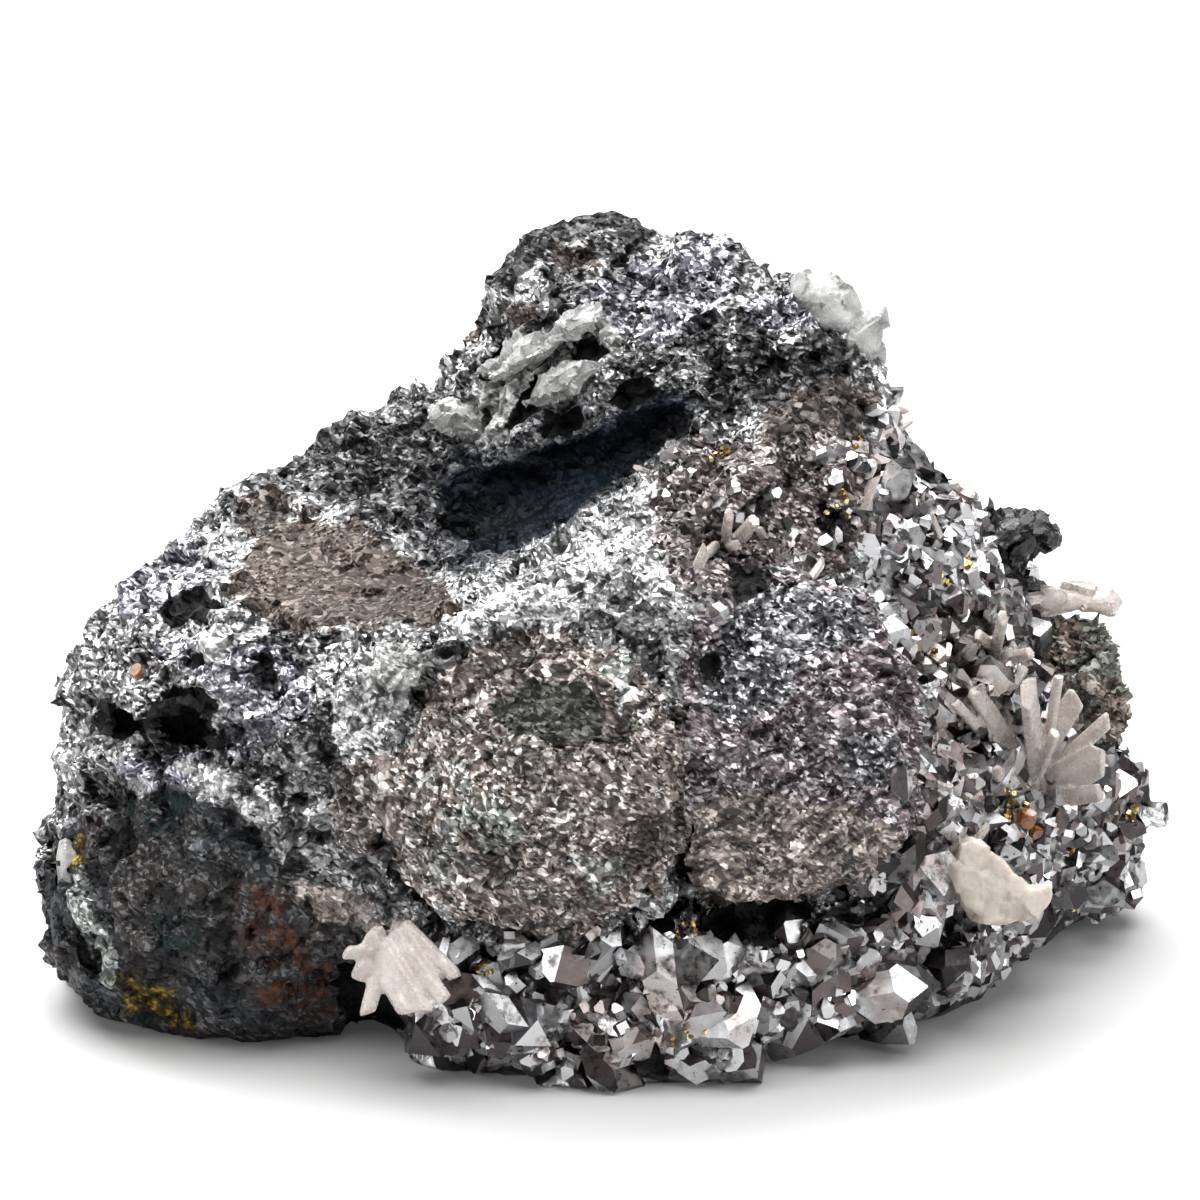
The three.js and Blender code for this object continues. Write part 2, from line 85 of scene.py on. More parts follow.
def stretch(tree, value, low, high, to_low=0.0, to_high=1.0):
    """Carries the range from low to high over to the one from to_low to to_high, and stops there."""
    return place(tree, "ShaderNodeMapRange", {0: value, 1: low, 2: high, 3: to_low, 4: to_high}).outputs[0]


def new_material(name):
    """A material with a bare Principled shader, and its node tree."""
    material = bpy.data.materials.new(name)
    material.use_nodes = True
    return material, material.node_tree, material.node_tree.nodes["Principled BSDF"]


bpy.ops.object.select_all(action="DESELECT")
bpy.ops.mesh.primitive_plane_add(size=8, location=(0, 0, 0))
table_top = bpy.context.object
table_top.name = "table_top"
board, tree, shader = new_material("white_board")
place_on = place(tree, "ShaderNodeTexCoord").outputs["Object"]
mottle = place(tree, "ShaderNodeTexNoise", {"Vector": place_on, "Scale": 3.0, "Detail": 2.0})
seen = place(tree, "ShaderNodeLightPath")
glow = place(tree, "ShaderNodeMath", {0: seen.outputs["Is Camera Ray"], 1: 0.03}, operation="MULTIPLY")
fill(tree, shader, {
    "Base Color": stretch(tree, mottle.outputs[0], 0.0, 1.0, 0.55, 0.57), "Roughness": 0.75,
    "Emission Color": (1, 1, 1, 1), "Emission Strength": glow.outputs[0],
})
table_top.data.materials.append(board)

# Studio light
# One broad soft box above and a little in front, a weaker one on each side, and a pale room. The
# room is darker on the camera's side, so that metal faces that look that way turn dark.


def soft_box(name, size, watts, place_at, aim_at):
    bpy.ops.object.light_add(type="AREA", location=place_at)
    lamp = bpy.context.object
    lamp.name = name
    lamp.data.shape = "RECTANGLE"
    lamp.data.size, lamp.data.size_y = size
    lamp.data.energy = watts
    lamp.rotation_euler = (Vector(aim_at) - Vector(place_at)).to_track_quat("-Z", "Y").to_euler()
    return lamp


soft_box("soft_box_above", (0.9, 0.6), 8.0, (-0.06, -0.12, 0.68), (0, 0, 0.03))
soft_box("soft_box_right", (0.35, 0.5), 2.0, (0.6, -0.35, 0.32), (0, 0, 0.04))
soft_box("soft_box_left", (0.35, 0.5), 1.6, (-0.6, -0.3, 0.25), (0, 0, 0.04))
soft_box("soft_box_behind", (1.5, 0.8), 25.0, (-0.12, 0.62, 0.85), (0, 0.26, 0))

room = bpy.data.worlds.new("pale_room")
room.use_nodes = True
bpy.context.scene.world = room
tree = room.node_tree
background = tree.nodes["Background"]
facing = place(tree, "ShaderNodeTexCoord").outputs["Generated"]
toward = place(tree, "ShaderNodeSeparateXYZ", {0: facing})
tree.links.new(stretch(tree, toward.outputs["Y"], -0.8, 0.2, 0.38, 0.72), background.inputs["Strength"])

# Ore body
# The broken mass of silver-grey metallic ore, which grew as one. Its skin is a rough break with
# flat cleavage faces of every size: two round brownish plates in front, a dished brown plate on
# the shoulder, a dark rounded lobe at the foot, a knob and a summit with a dark valley below.


def from_ore_middle(x, y, z):
    """A place on the ore in metres, from millimetres counted from the ore's own middle."""
    return ORE_MIDDLE + Vector((x, y, z)) * MM


def point_array(mesh):
    """The places of the mesh's vertices, one row for each."""
    flat = np.empty(len(mesh.vertices) * 3)
    mesh.vertices.foreach_get("co", flat)
    return flat.reshape(-1, 3)


def write_share(mesh, name, values):
    """Keeps one number for each vertex as a named attribute."""
    layer = mesh.attributes.new(name, "FLOAT", "POINT")
    layer.data.foreach_set("value", np.asarray(values, dtype=np.float32))


# The vector attribute and the axis that hold a value, by the value's name
share_place = {}


def write_three(mesh, holder, three):
    """Keeps up to three named numbers for each vertex on the axes of one vector attribute."""
    packed = np.zeros((len(mesh.vertices), 3), dtype=np.float32)
    for axis, (name, values) in enumerate(three.items()):
        packed[:, axis] = values
        share_place[name] = (holder, axis)
    layer = mesh.attributes.new(holder, "FLOAT_VECTOR", "POINT")
    layer.data.foreach_set("vector", packed.ravel())


def make_active(piece):
    bpy.ops.object.select_all(action="DESELECT")
    piece.select_set(True)
    bpy.context.view_layer.objects.active = piece


def bare_copy(name, node):
    """A piece that starts as a copy of a CAD solid, with its loose triangles joined."""
    piece = bpy.data.objects.new(name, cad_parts[node].data.copy())
    bpy.context.scene.collection.objects.link(piece)
    piece.data.materials.clear()
    make_active(piece)
    bpy.ops.object.mode_set(mode="EDIT")
    bpy.ops.mesh.select_all(action="SELECT")
    bpy.ops.mesh.remove_doubles(threshold=0.00001)
    bpy.ops.object.mode_set(mode="OBJECT")
    return piece


def remesh(piece, voxel):
    """Even small faces all over the piece, so that it can be shaped finely."""
    make_active(piece)
    modifier = piece.modifiers.new("even_faces", "REMESH")
    modifier.mode = "VOXEL"
    modifier.voxel_size = voxel
    bpy.ops.object.modifier_apply(modifier=modifier.name)


ore = bare_copy("ore_skin", "ore_body")
remesh(ore, 0.00082)
points = point_array(ore.data)

# Where each point of the skin shows in the picture of 1200 by 1200 pixels, and how far it lies
# behind the first thing that the camera sees there
PICTURE = 1200
focal = camera.data.lens / camera.data.sensor_width * PICTURE
from_eye = points - np.array(eye)
far_ahead = from_eye @ np.array(ahead)
seen_column = PICTURE / 2 + focal * from_eye[:, 0] / far_ahead
seen_row = PICTURE / 2 - focal * (from_eye @ np.array(upward)) / far_ahead
ore_tree = BVHTree.FromPolygons(points.tolist(), [tuple(face.vertices) for face in ore.data.polygons])
reach = np.linalg.norm(from_eye, axis=1)
first_hit = np.array([
    ore_tree.ray_cast(eye, Vector(direction))[3] or length
    for direction, length in zip(from_eye / reach[:, None], reach)
])
# 1 up to 3.6 mm behind what the camera sees, fading to 0 at 9.6 mm
in_view = np.clip(1.6 - (reach - first_hit) / (6 * MM), 0, 1)


def sight(column, row):
    """The direction from the camera to this pixel of the picture."""
    return ahead * focal + Vector((1, 0, 0)) * (column - PICTURE / 2) + upward * (PICTURE / 2 - row)


def on_ore(column, row):
    """The place on the ore's skin that shows at this pixel of the picture."""
    return ore_tree.ray_cast(eye, sight(column, row).normalized())[0]


def share_of_outline(outline, soft):
    """From 0 well outside an outline in the picture to 1 well inside, with a border soft pixels wide."""
    inside = np.zeros(len(points), dtype=bool)
    nearest = np.full(len(points), 1e9)
    for (x1, y1), (x2, y2) in zip(outline, outline[1:] + outline[:1]):
        crosses = (y1 > seen_row) != (y2 > seen_row)
        edge_x = x1 + (seen_row - y1) * (x2 - x1) / ((y2 - y1) or 1e-9)
        inside ^= crosses & (seen_column < edge_x)
        along = (seen_column - x1) * (x2 - x1) + (seen_row - y1) * (y2 - y1)
        along = np.clip(along / max((x2 - x1) ** 2 + (y2 - y1) ** 2, 1e-9), 0, 1)
        gap = np.hypot(seen_column - x1 - along * (x2 - x1), seen_row - y1 - along * (y2 - y1))
        nearest = np.minimum(nearest, gap)
    signed = np.where(inside, nearest, -nearest)
    return np.clip(0.5 + signed / (2 * soft), 0, 1) * in_view


# Unevenness of the skin that tears borders and bends cracks: waves for each metre, and octaves
wobble = np.array([turbulence(Vector(point) * 260, 3, False) for point in points]) - 0.5
broad_wobble = np.array([turbulence(Vector(point) * 70, 2, False) for point in points]) - 0.5


def share_of_ellipsoid(middle, radii):
    """From 0 well outside an ellipsoid, in millimetres from the ore's middle, to 1 well inside."""
    far = np.linalg.norm((points - np.array(from_ore_middle(*middle))) / (np.array(radii) * MM), axis=1)
    return np.clip((1.2 - far - 1.4 * broad_wobble - 0.4 * wobble) / 0.4, 0, 1)


# Outlines of the ore's regions as the picture shows them, in its pixels
OUTLINES = {
    "shoulder": [
        [
            (190, 525), (250, 475), (320, 430), (400, 400), (450, 376), (472, 400), (448, 440),
            (482, 458), (438, 478), (430, 505), (458, 540), (474, 575), (446, 572), (400, 535),
            (350, 512), (290, 500), (245, 520),
        ],
    ],
    "dish": [
        [
            (232, 585), (240, 552), (270, 522), (310, 512), (350, 522), (400, 545), (440, 572),
            (456, 604), (425, 622), (380, 628), (330, 628), (285, 616), (250, 604),
        ],
    ],
    "valley": [
        [
            (428, 484), (445, 466), (520, 452), (575, 436), (625, 408), (666, 390), (690, 408),
            (676, 436), (640, 460), (600, 500), (560, 532), (520, 552), (478, 562), (450, 530),
        ],
    ],
    "lilac": [
        [(108, 605), (150, 552), (190, 540), (220, 580), (170, 600), (140, 622)],
        [
            (150, 640), (215, 640), (262, 640), (310, 668), (300, 715), (262, 752), (225, 758),
            (212, 700), (190, 668),
        ],
        [(110, 770), (160, 742), (220, 752), (200, 778), (150, 792)],
        [(548, 330), (590, 290), (650, 254), (676, 262), (650, 300), (610, 335), (570, 350)],
        [(455, 465), (500, 440), (560, 430), (600, 405), (660, 380), (600, 395), (540, 420), (480, 445)],
        [(735, 305), (790, 288), (835, 308), (805, 332), (760, 328)],
        [(640, 330), (660, 262), (700, 232), (742, 252), (730, 290), (690, 330), (660, 352)],
    ],
    "knob_cap": [
        [
            (486, 285), (500, 252), (545, 220), (605, 204), (645, 212), (662, 236), (640, 246),
            (600, 234), (560, 243), (530, 262), (508, 290),
        ],
    ],
    "rust_spots": [
        [(555, 240), (600, 240), (602, 262), (575, 270), (555, 258)],
        [(494, 302), (532, 296), (542, 318), (520, 334), (496, 324)],
        [(236, 505), (275, 485), (290, 505), (270, 530), (245, 535)],
    ],
    # Painted shade under the summit's overhanging cap, laid on as a band of coal tone
    "overhang_shade_band": [
        [(742, 392), (768, 362), (820, 346), (862, 330), (874, 346), (860, 372), (800, 396), (765, 404)],
        [(592, 300), (612, 296), (620, 312), (600, 320)],
    ],
    "tan": [
        [(762, 408), (790, 388), (850, 376), (882, 392), (866, 424), (820, 446), (780, 466), (760, 440)],
    ],
    "druse_bed": [
        [
            (650, 470), (700, 430), (760, 448), (860, 420), (896, 470), (884, 540), (830, 572),
            (770, 556), (730, 600), (690, 600), (655, 540),
        ],
    ],
    "pale_band": [
        [
            (455, 432), (474, 392), (510, 356), (550, 326), (610, 322), (622, 342), (596, 366),
            (576, 404), (540, 402), (512, 436), (486, 446),
        ],
        [(372, 652), (404, 640), (432, 652), (430, 684), (396, 694), (366, 680)],
        [(190, 652), (212, 632), (236, 642), (222, 662)],
    ],
    "arch": [
        [
            (322, 700), (352, 664), (430, 632), (500, 590), (580, 560), (660, 562), (700, 600),
            (704, 660), (690, 716), (668, 668), (610, 622), (530, 622), (460, 640), (424, 668),
            (400, 716), (350, 752), (330, 740),
        ],
        [(470, 584), (560, 536), (640, 470), (712, 440), (696, 500), (700, 590), (640, 562), (560, 556)],
        [(200, 800), (180, 760), (240, 756), (280, 800), (300, 850), (280, 870), (240, 830)],
    ],
    "disc": [
        [
            (406, 752), (424, 690), (462, 650), (530, 634), (610, 640), (655, 680), (674, 740),
            (672, 830), (655, 892), (600, 936), (540, 950), (480, 934), (425, 900), (380, 852),
            (346, 850), (330, 800), (344, 762),
        ],
    ],
    "seam": [
        [(656, 716), (690, 712), (698, 780), (690, 866), (656, 866), (662, 790)],
    ],
    "green_patch": [
        [(490, 706), (528, 682), (584, 684), (608, 706), (600, 730), (560, 740), (508, 736)],
    ],
    "disc_grey": [
        [(396, 790), (432, 762), (500, 772), (530, 800), (540, 850), (500, 890), (440, 870), (404, 840)],
        [(560, 850), (620, 836), (636, 870), (600, 900), (556, 890)],
        [(600, 650), (650, 660), (664, 720), (640, 730), (612, 700)],
    ],
    "cream_bed": [
        [
            (296, 884), (350, 890), (384, 920), (440, 948), (466, 1000), (436, 1026), (404, 984),
            (364, 934), (322, 922),
        ],
    ],
    "plate": [
        [
            (688, 622), (730, 580), (800, 566), (870, 596), (908, 640), (914, 720), (916, 800),
            (900, 856), (850, 880), (780, 900), (712, 908), (684, 880), (682, 800), (690, 740),
            (680, 680),
        ],
    ],
    "plate_taupe": [
        [(684, 812), (740, 792), (850, 806), (906, 836), (850, 882), (780, 902), (710, 908), (682, 880)],
    ],
    "plate_grey": [
        [
            (728, 620), (770, 582), (850, 590), (880, 640), (820, 650), (790, 700), (740, 730),
            (700, 700), (704, 660),
        ],
        [(830, 740), (890, 730), (900, 780), (850, 790)],
    ],
    "summit": [
        [
            (560, 330), (640, 256), (690, 226), (740, 250), (820, 275), (880, 340), (860, 380),
            (760, 400), (700, 420), (640, 380), (600, 400),
        ],
    ],
    "left_block": [
        [
            (70, 690), (100, 620), (150, 560), (200, 540), (300, 610), (400, 640), (330, 700),
            (340, 800), (240, 780), (160, 740), (90, 780),
        ],
    ],
    "strip": [
        [(66, 866), (80, 862), (96, 910), (118, 956), (114, 990), (100, 984), (80, 930)],
    ],
    "lobe": [
        [
            (34, 930), (34, 868), (64, 822), (110, 812), (150, 790), (230, 800), (270, 850), (330, 890),
            (372, 935), (388, 1000), (340, 1050), (200, 1056), (90, 1030), (44, 960),
        ],
    ],
    "rust": [
        [(236, 890), (270, 896), (292, 940), (284, 1000), (262, 1000), (240, 950)],
        [(290, 960), (330, 950), (330, 1010), (296, 1010)],
    ],
    "gold_streak": [
        [(108, 978), (130, 976), (186, 1010), (192, 1028), (160, 1030), (120, 1000)],
        [(60, 980), (74, 978), (76, 1000), (62, 996)],
        [(56, 850), (84, 836), (80, 868), (60, 872)],
    ],
    "teal": [
        [(108, 800), (180, 780), (200, 800), (130, 850)],
        [(150, 920), (190, 915), (200, 950), (165, 960)],
    ],
    # Painted shade: the pockets, the gaps and the hollow under the plate are painted near-black, where shade
    # falls in them
    "black": [
        [(166, 590), (204, 582), (218, 604), (206, 628), (172, 628), (146, 616)],
        [(158, 692), (200, 688), (216, 706), (206, 738), (176, 742), (156, 722)],
        [(84, 694), (130, 712), (146, 726), (110, 738), (84, 728)],
        [(254, 652), (272, 656), (274, 676), (260, 682)],
        [(184, 650), (200, 652), (196, 664), (184, 662)],
        [(530, 434), (545, 408), (572, 406), (576, 426), (556, 438)],
        [(498, 436), (512, 410), (548, 366), (556, 388), (524, 424)],
        [(604, 404), (612, 386), (650, 376), (652, 398), (622, 408)],
        [(562, 354), (590, 334), (606, 348), (590, 366)],
        [(478, 356), (500, 340), (510, 352), (486, 372)],
        [(690, 892), (712, 910), (790, 898), (806, 912), (780, 938), (720, 944), (692, 926)],
        [(728, 556), (762, 558), (768, 588), (738, 604)],
        [(698, 668), (710, 652), (724, 662), (716, 680)],
        [(340, 974), (372, 960), (400, 1004), (404, 1084), (352, 1090)],
        [(100, 838), (128, 820), (134, 846), (112, 872)],
    ],
    "crust": [
        [
            (394, 1000), (380, 950), (470, 944), (540, 958), (640, 944), (700, 944), (790, 934),
            (860, 892), (914, 860), (926, 760), (920, 680), (890, 620), (870, 540), (866, 470),
            (884, 400), (940, 430), (1020, 480), (1080, 600), (1140, 700), (1190, 840), (1130, 930),
            (1040, 960), (1040, 1040), (900, 1060), (760, 1110), (600, 1110), (430, 1110),
        ],
    ],
}
# Stretches of the ore that the picture doesn't show, as middle and half lengths in millimetres
HIDDEN_SIDES = {
    "lobe": [((-58, -14, 13), (20, 20, 14))],
    "shoulder": [((-38, 18, 66), (22, 12, 10)), ((-30, 30, 50), (20, 14, 14))],
    "dish": [((10, 40, 60), (16, 12, 14))],
    "lilac": [((-66, -6, 44), (10, 12, 16)), ((-20, 44, 30), (14, 10, 12))],
    "knob_cap": [((-2, 26, 92), (10, 9, 7))],
    "plate": [((30, 40, 40), (18, 14, 16))],
    "plate_taupe": [((-50, 30, 30), (14, 14, 14))],
    "crust": [((62, 6, 24), (22, 26, 24)), ((54, 14, 44), (14, 20, 14)), ((44, 24, 22), (20, 22, 18))],
}
# How many pixels wide a region fades out, and the regions with a sharper or softer border
BORDER = 16
OTHER_BORDERS = {"black": 5, "green_patch": 5, "strip": 5, "disc_grey": 30, "valley": 32}
shares = {}
for region, outlines in OUTLINES.items():
    border = OTHER_BORDERS.get(region, BORDER)
    share = np.max([share_of_outline(outline, border) for outline in outlines], axis=0)
    for middle, radii in HIDDEN_SIDES.get(region, []):
        share = np.maximum(share, share_of_ellipsoid(middle, radii) * (1 - in_view))
    shares[region] = share
regions = list(shares)
for start in range(0, len(regions), 3):
    three = {region: shares[region] for region in regions[start:start + 3]}
    write_three(ore.data, f"regions_{start // 3}", three)

# The forms that stand out from the skin or lie in it: height in millimetres for each region
normals = np.empty(len(points) * 3)
ore.data.vertices.foreach_get("normal", normals)
normals = normals.reshape(-1, 3)
lift = np.zeros(len(points))
for region, height in (
    ("disc", 0.6), ("plate", 0.6), ("arch", 0.9), ("green_patch", -1.0), ("seam", 1.5),
    ("plate_taupe", 0.5), ("dish", -0.5), ("black", -1.7), ("knob_cap", 0.5), ("pale_band", 0.4),
    ("strip", 0.7),
):
    lift += height * MM * shares[region]

# Cracks between the plates: course in the picture's pixels, half width and depth in millimetres
CRACKS = [
    ([(676, 640), (682, 680), (674, 730)], 0.5, 1.3),
    ([(690, 840), (682, 880), (664, 930)], 0.75, 2.8),
    ([(446, 652), (424, 684), (408, 720), (404, 752)], 0.45, 1.5),
    ([(330, 752), (344, 780), (352, 806)], 0.6, 1.8),
    ([(378, 846), (400, 884), (430, 914), (462, 930)], 0.6, 2.0),
    ([(480, 934), (540, 950), (600, 940), (640, 912)], 0.6, 1.8),
    ([(520, 634), (524, 660), (520, 676)], 0.6, 1.4),
    ([(260, 600), (300, 628), (360, 640), (420, 636)], 0.8, 1.4),
    ([(640, 820), (650, 880), (628, 920)], 0.7, 1.3),
]
crack = np.zeros(len(points))
for course, half_width, depth in CRACKS:
    stops = [on_ore(*stop) for stop in course]
    for start, end in zip(stops, stops[1:]):
        run = np.array(end - start)
        along = np.clip((points - np.array(start)) @ run / (run @ run), 0, 1)
        gap = np.linalg.norm(points - np.array(start) - along[:, None] * run, axis=1)
        cut = np.clip(1.4 - gap / (half_width * MM) - 1.2 * wobble, 0, 1)
        lift = np.where(cut * depth > crack, lift - (cut * depth - crack) * MM, lift)
        crack = np.maximum(crack, cut * depth)

# Leaves of ore that overlap like shingles. They lie round the middle of the disc, or slanting over
# the picture. Both give a distance across the leaves and one along them, in the picture's pixels.
DISC_COLUMN = 540
DISC_ROW = 810
RING_RADIUS = 180


def slanting(slope):
    """Distances across and along leaves that slant over the picture."""
    return seen_row + slope * seen_column, seen_column - slope * seen_row


off_column = seen_column - DISC_COLUMN
off_row = seen_row - DISC_ROW
ring = (np.hypot(off_column, off_row), np.arctan2(off_row, off_column) * RING_RADIUS)
up_slope = slanting(0.62)
leaf_edge = np.zeros(len(points))
flow_share, flow_across, flow_along = np.zeros((3, len(points)))
# Region, the run of its leaves, the breadth of a leaf in pixels, the height of its edge in millimetres
for region, (across, along), breadth, height in (
    ("arch", ring, 23, 1.4), ("disc", ring, 46, 0.6), ("plate", up_slope, 44, 0.7),
    ("shoulder", slanting(-0.32), 18, 0.9), ("pale_band", up_slope, 16, 0.9), ("summit", up_slope, 22, 1.2),
    ("left_block", slanting(0.5), 26, 0.9),
):
    leaf = (across / breadth + 1.0 * wobble + 2.2 * broad_wobble) % 1
    lift += height * MM * (np.minimum(leaf, 6 * (1 - leaf)) - 0.45) * shares[region]
    # Near a leaf's edge lies the step under the next leaf, which the ore material darkens as painted shade
    edge = np.clip(1.25 - np.minimum(leaf, 1 - leaf) / 0.12, 0, 1)
    leaf_edge = np.maximum(leaf_edge, edge * shares[region])
    flow_across = np.where(shares[region] > flow_share, across + 14 * broad_wobble, flow_across)
    flow_along = np.where(shares[region] > flow_share, along, flow_along)
    flow_share = np.maximum(flow_share, shares[region])
write_three(ore.data, "flow", {
    "flow_share": flow_share, "flow_across": flow_across, "flow_along": flow_along,
})
# The leaf steps and the cracks, kept as masks for painted shade in the ore material
write_three(ore.data, "edges", {"leaf_edge": leaf_edge, "crack": np.clip((crack - 0.9) / 1.2, 0, 1)})
points = points + normals * lift[:, None]
points[:, 2] = np.maximum(points[:, 2], 0)
ore.data.vertices.foreach_set("co", points.ravel())
ore.data.update()


def geometry_tree(name):
    """An empty geometry node tree with its way in and way out."""
    tree = bpy.data.node_groups.new(name, "GeometryNodeTree")
    tree.interface.new_socket("Geometry", in_out="INPUT", socket_type="NodeSocketGeometry")
    tree.interface.new_socket("Geometry", in_out="OUTPUT", socket_type="NodeSocketGeometry")
    return tree, place(tree, "NodeGroupInput"), place(tree, "NodeGroupOutput")


def apply_tree(piece, tree):
    modifier = piece.modifiers.new(tree.name, "NODES")
    modifier.node_group = tree
    make_active(piece)
    bpy.ops.object.modifier_apply(modifier=modifier.name)
    bpy.data.node_groups.remove(tree)


def calc(tree, operation, first, second, third=0.0):
    """The result of a math node."""
    return place(tree, "ShaderNodeMath", {0: first, 1: second, 2: third}, operation=operation).outputs[0]


def vector_calc(tree, operation, first, second=(0, 0, 0)):
    made = place(tree, "ShaderNodeVectorMath", {0: first, 1: second}, operation=operation)
    return made.outputs["Value"] if operation in ("DOT_PRODUCT", "LENGTH") else made.outputs[0]


def scaled(tree, vector, factor):
    return place(tree, "ShaderNodeVectorMath", {0: vector, "Scale": factor}, operation="SCALE").outputs[0]


def named(tree, attribute):
    return place(
        tree, "GeometryNodeInputNamedAttribute", {"Name": attribute}, data_type="FLOAT"
    ).outputs["Attribute"]


def centred(tree, colour):
    """A random colour as a vector around zero."""
    return vector_calc(tree, "SUBTRACT", colour, (0.5, 0.5, 0.5))


def break_faces(piece, layers, sink, swirl_size=0.007, streak=0.0):
    """Breaks a skin into flat tilted faces. A layer is face size, slope and step between faces.

    The whole skin sinks by sink, and streak is the height of fine leaves over the "leafy" share."""
    tree, way_in, way_out = geometry_tree(f"{piece.name}_break")
    at = place(tree, "GeometryNodeInputPosition").outputs[0]
    swirl = place(tree, "ShaderNodeTexNoise", {"Vector": at, "Scale": 1 / swirl_size, "Detail": 3.0})
    swirl = scaled(tree, centred(tree, swirl.outputs[1]), swirl_size * 0.32)
    where = vector_calc(tree, "ADD", at, swirl)
    height = None
    for face_size, slope, step in layers:
        cell = place(tree, "ShaderNodeTexVoronoi", {"Vector": where, "Scale": 1 / face_size})
        turn = centred(tree, cell.outputs["Color"])
        arm = vector_calc(tree, "SUBTRACT", where, cell.outputs["Position"])
        lean = calc(tree, "MULTIPLY", vector_calc(tree, "DOT_PRODUCT", turn, arm), 2 * slope)
        tone = place(tree, "ShaderNodeSeparateXYZ", {0: turn}).outputs["X"]
        face = calc(tree, "MULTIPLY_ADD", tone, step, lean)
        height = face if height is None else calc(tree, "ADD", face, height)
    height = calc(tree, "MULTIPLY", calc(tree, "SUBTRACT", height, sink), named(tree, "rugged"))
    if streak:
        turned = place(tree, "ShaderNodeVectorRotate", {"Vector": where, "Axis": (0, 1, 0), "Angle": 0.5},
                       rotation_type="AXIS_ANGLE").outputs[0]
        drawn = vector_calc(tree, "MULTIPLY", turned, (0.16, 0.5, 1))
        leaf = place(tree, "ShaderNodeTexNoise", {"Vector": drawn, "Scale": 420.0, "Detail": 3.0})
        leaf = calc(tree, "MULTIPLY", calc(tree, "SUBTRACT", leaf.outputs[0], 0.5), streak)
        height = calc(tree, "MULTIPLY_ADD", leaf, named(tree, "leafy"), height)
    kept = place(
        tree, "GeometryNodeStoreNamedAttribute",
        {"Geometry": way_in.outputs[0], "Name": "relief", "Value": height},
        data_type="FLOAT", domain="POINT",
    )
    outward = place(tree, "GeometryNodeInputNormal").outputs[0]
    moved = place(
        tree, "GeometryNodeSetPosition",
        {"Geometry": kept.outputs[0], "Offset": scaled(tree, outward, height)},
    )
    tree.links.new(moved.outputs[0], way_out.inputs[0])
    apply_tree(piece, tree)


def keep_above_table(piece):
    """The flat cut that the specimen rests on: nothing reaches below it."""
    places = point_array(piece.data)
    places[:, 2] = np.maximum(places[:, 2], 0)
    piece.data.vertices.foreach_set("co", places.ravel())
    piece.data.update()


def lowered(amounts):
    """1 over the skin, less the amount given for a region where that region is."""
    level = np.ones(len(points))
    for region, less in amounts.items():
        level = np.minimum(level, 1 - less * shares[region])
    return level


rugged = lowered({
    "valley": 0.88, "dish": 0.72, "lobe": 0.3, "knob_cap": 0.6, "disc": 0.45, "plate": 0.5, "shoulder": 0.4,
    "green_patch": 0.75, "tan": 0.4, "crust": 0.6, "arch": 0.3, "left_block": 0.2, "summit": 0.2,
})
write_share(ore.data, "rugged", rugged * np.clip(points[:, 2] / (3 * MM), 0, 1))
write_share(ore.data, "leafy", np.maximum(shares["shoulder"], 0.6 * shares["knob_cap"]) + 0.25)
break_faces(ore, [(0.0088, 0.24, 0.0010), (0.0042, 0.3, 0.0006), (0.0021, 0.34, 0.0004)], 0.0004,
            streak=0.0024)
keep_above_table(ore)
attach(ore, "root")
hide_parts("ore_body")


def shader_group(name, inputs, outputs):
    """An empty shader node group with named inputs and outputs."""
    tree = bpy.data.node_groups.new(name, "ShaderNodeTree")
    for socket, kind in inputs.items():
        tree.interface.new_socket(socket, in_out="INPUT", socket_type=kind)
    for socket, kind in outputs.items():
        tree.interface.new_socket(socket, in_out="OUTPUT", socket_type=kind)
    return tree, place(tree, "NodeGroupInput").outputs, place(tree, "NodeGroupOutput").inputs


NUMBER = "NodeSocketFloat"
VECTOR = "NodeSocketVector"

# Grains of metal, each a flat face with its own tilt and tone, drawn out one way, and the dark
# joint around it
grain_group, way_in, way_out = shader_group(
    "metal_grain", {"Size": NUMBER, "Tilt": NUMBER, "Swirl": NUMBER},
    {"Normal": VECTOR, "Tone": NUMBER, "Joint": NUMBER},
)
where = place(grain_group, "ShaderNodeTexCoord").outputs["Object"]
swirl = place(grain_group, "ShaderNodeTexNoise", {"Vector": where, "Scale": 260.0, "Detail": 2.0})
swirl_size = calc(grain_group, "MULTIPLY", way_in["Size"], way_in["Swirl"])
swirl = scaled(grain_group, centred(grain_group, swirl.outputs[1]), swirl_size)
where = vector_calc(grain_group, "ADD", where, swirl)
where = place(
    grain_group, "ShaderNodeMapping",
    {"Vector": where, "Rotation": (0.3, 0.55, 0.4), "Scale": (1.9, 1.0, 0.85)}, vector_type="TEXTURE",
).outputs[0]
scale = calc(grain_group, "DIVIDE", 1.0, way_in["Size"])
cell = place(grain_group, "ShaderNodeTexVoronoi", {"Vector": where, "Scale": scale})
turn = scaled(grain_group, centred(grain_group, cell.outputs["Color"]), way_in["Tilt"])
outward = place(grain_group, "ShaderNodeNewGeometry").outputs["Normal"]
tilted = vector_calc(grain_group, "NORMALIZE", vector_calc(grain_group, "ADD", outward, turn))
grain_group.links.new(tilted, way_out["Normal"])
tone = place(grain_group, "ShaderNodeSeparateXYZ", {0: cell.outputs["Color"]}).outputs["Z"]
grain_group.links.new(tone, way_out["Tone"])
rim = place(grain_group, "ShaderNodeTexVoronoi", {"Vector": where, "Scale": scale},
            feature="DISTANCE_TO_EDGE")
grain_group.links.new(stretch(grain_group, rim.outputs[0], 0.11, 0.02), way_out["Joint"])

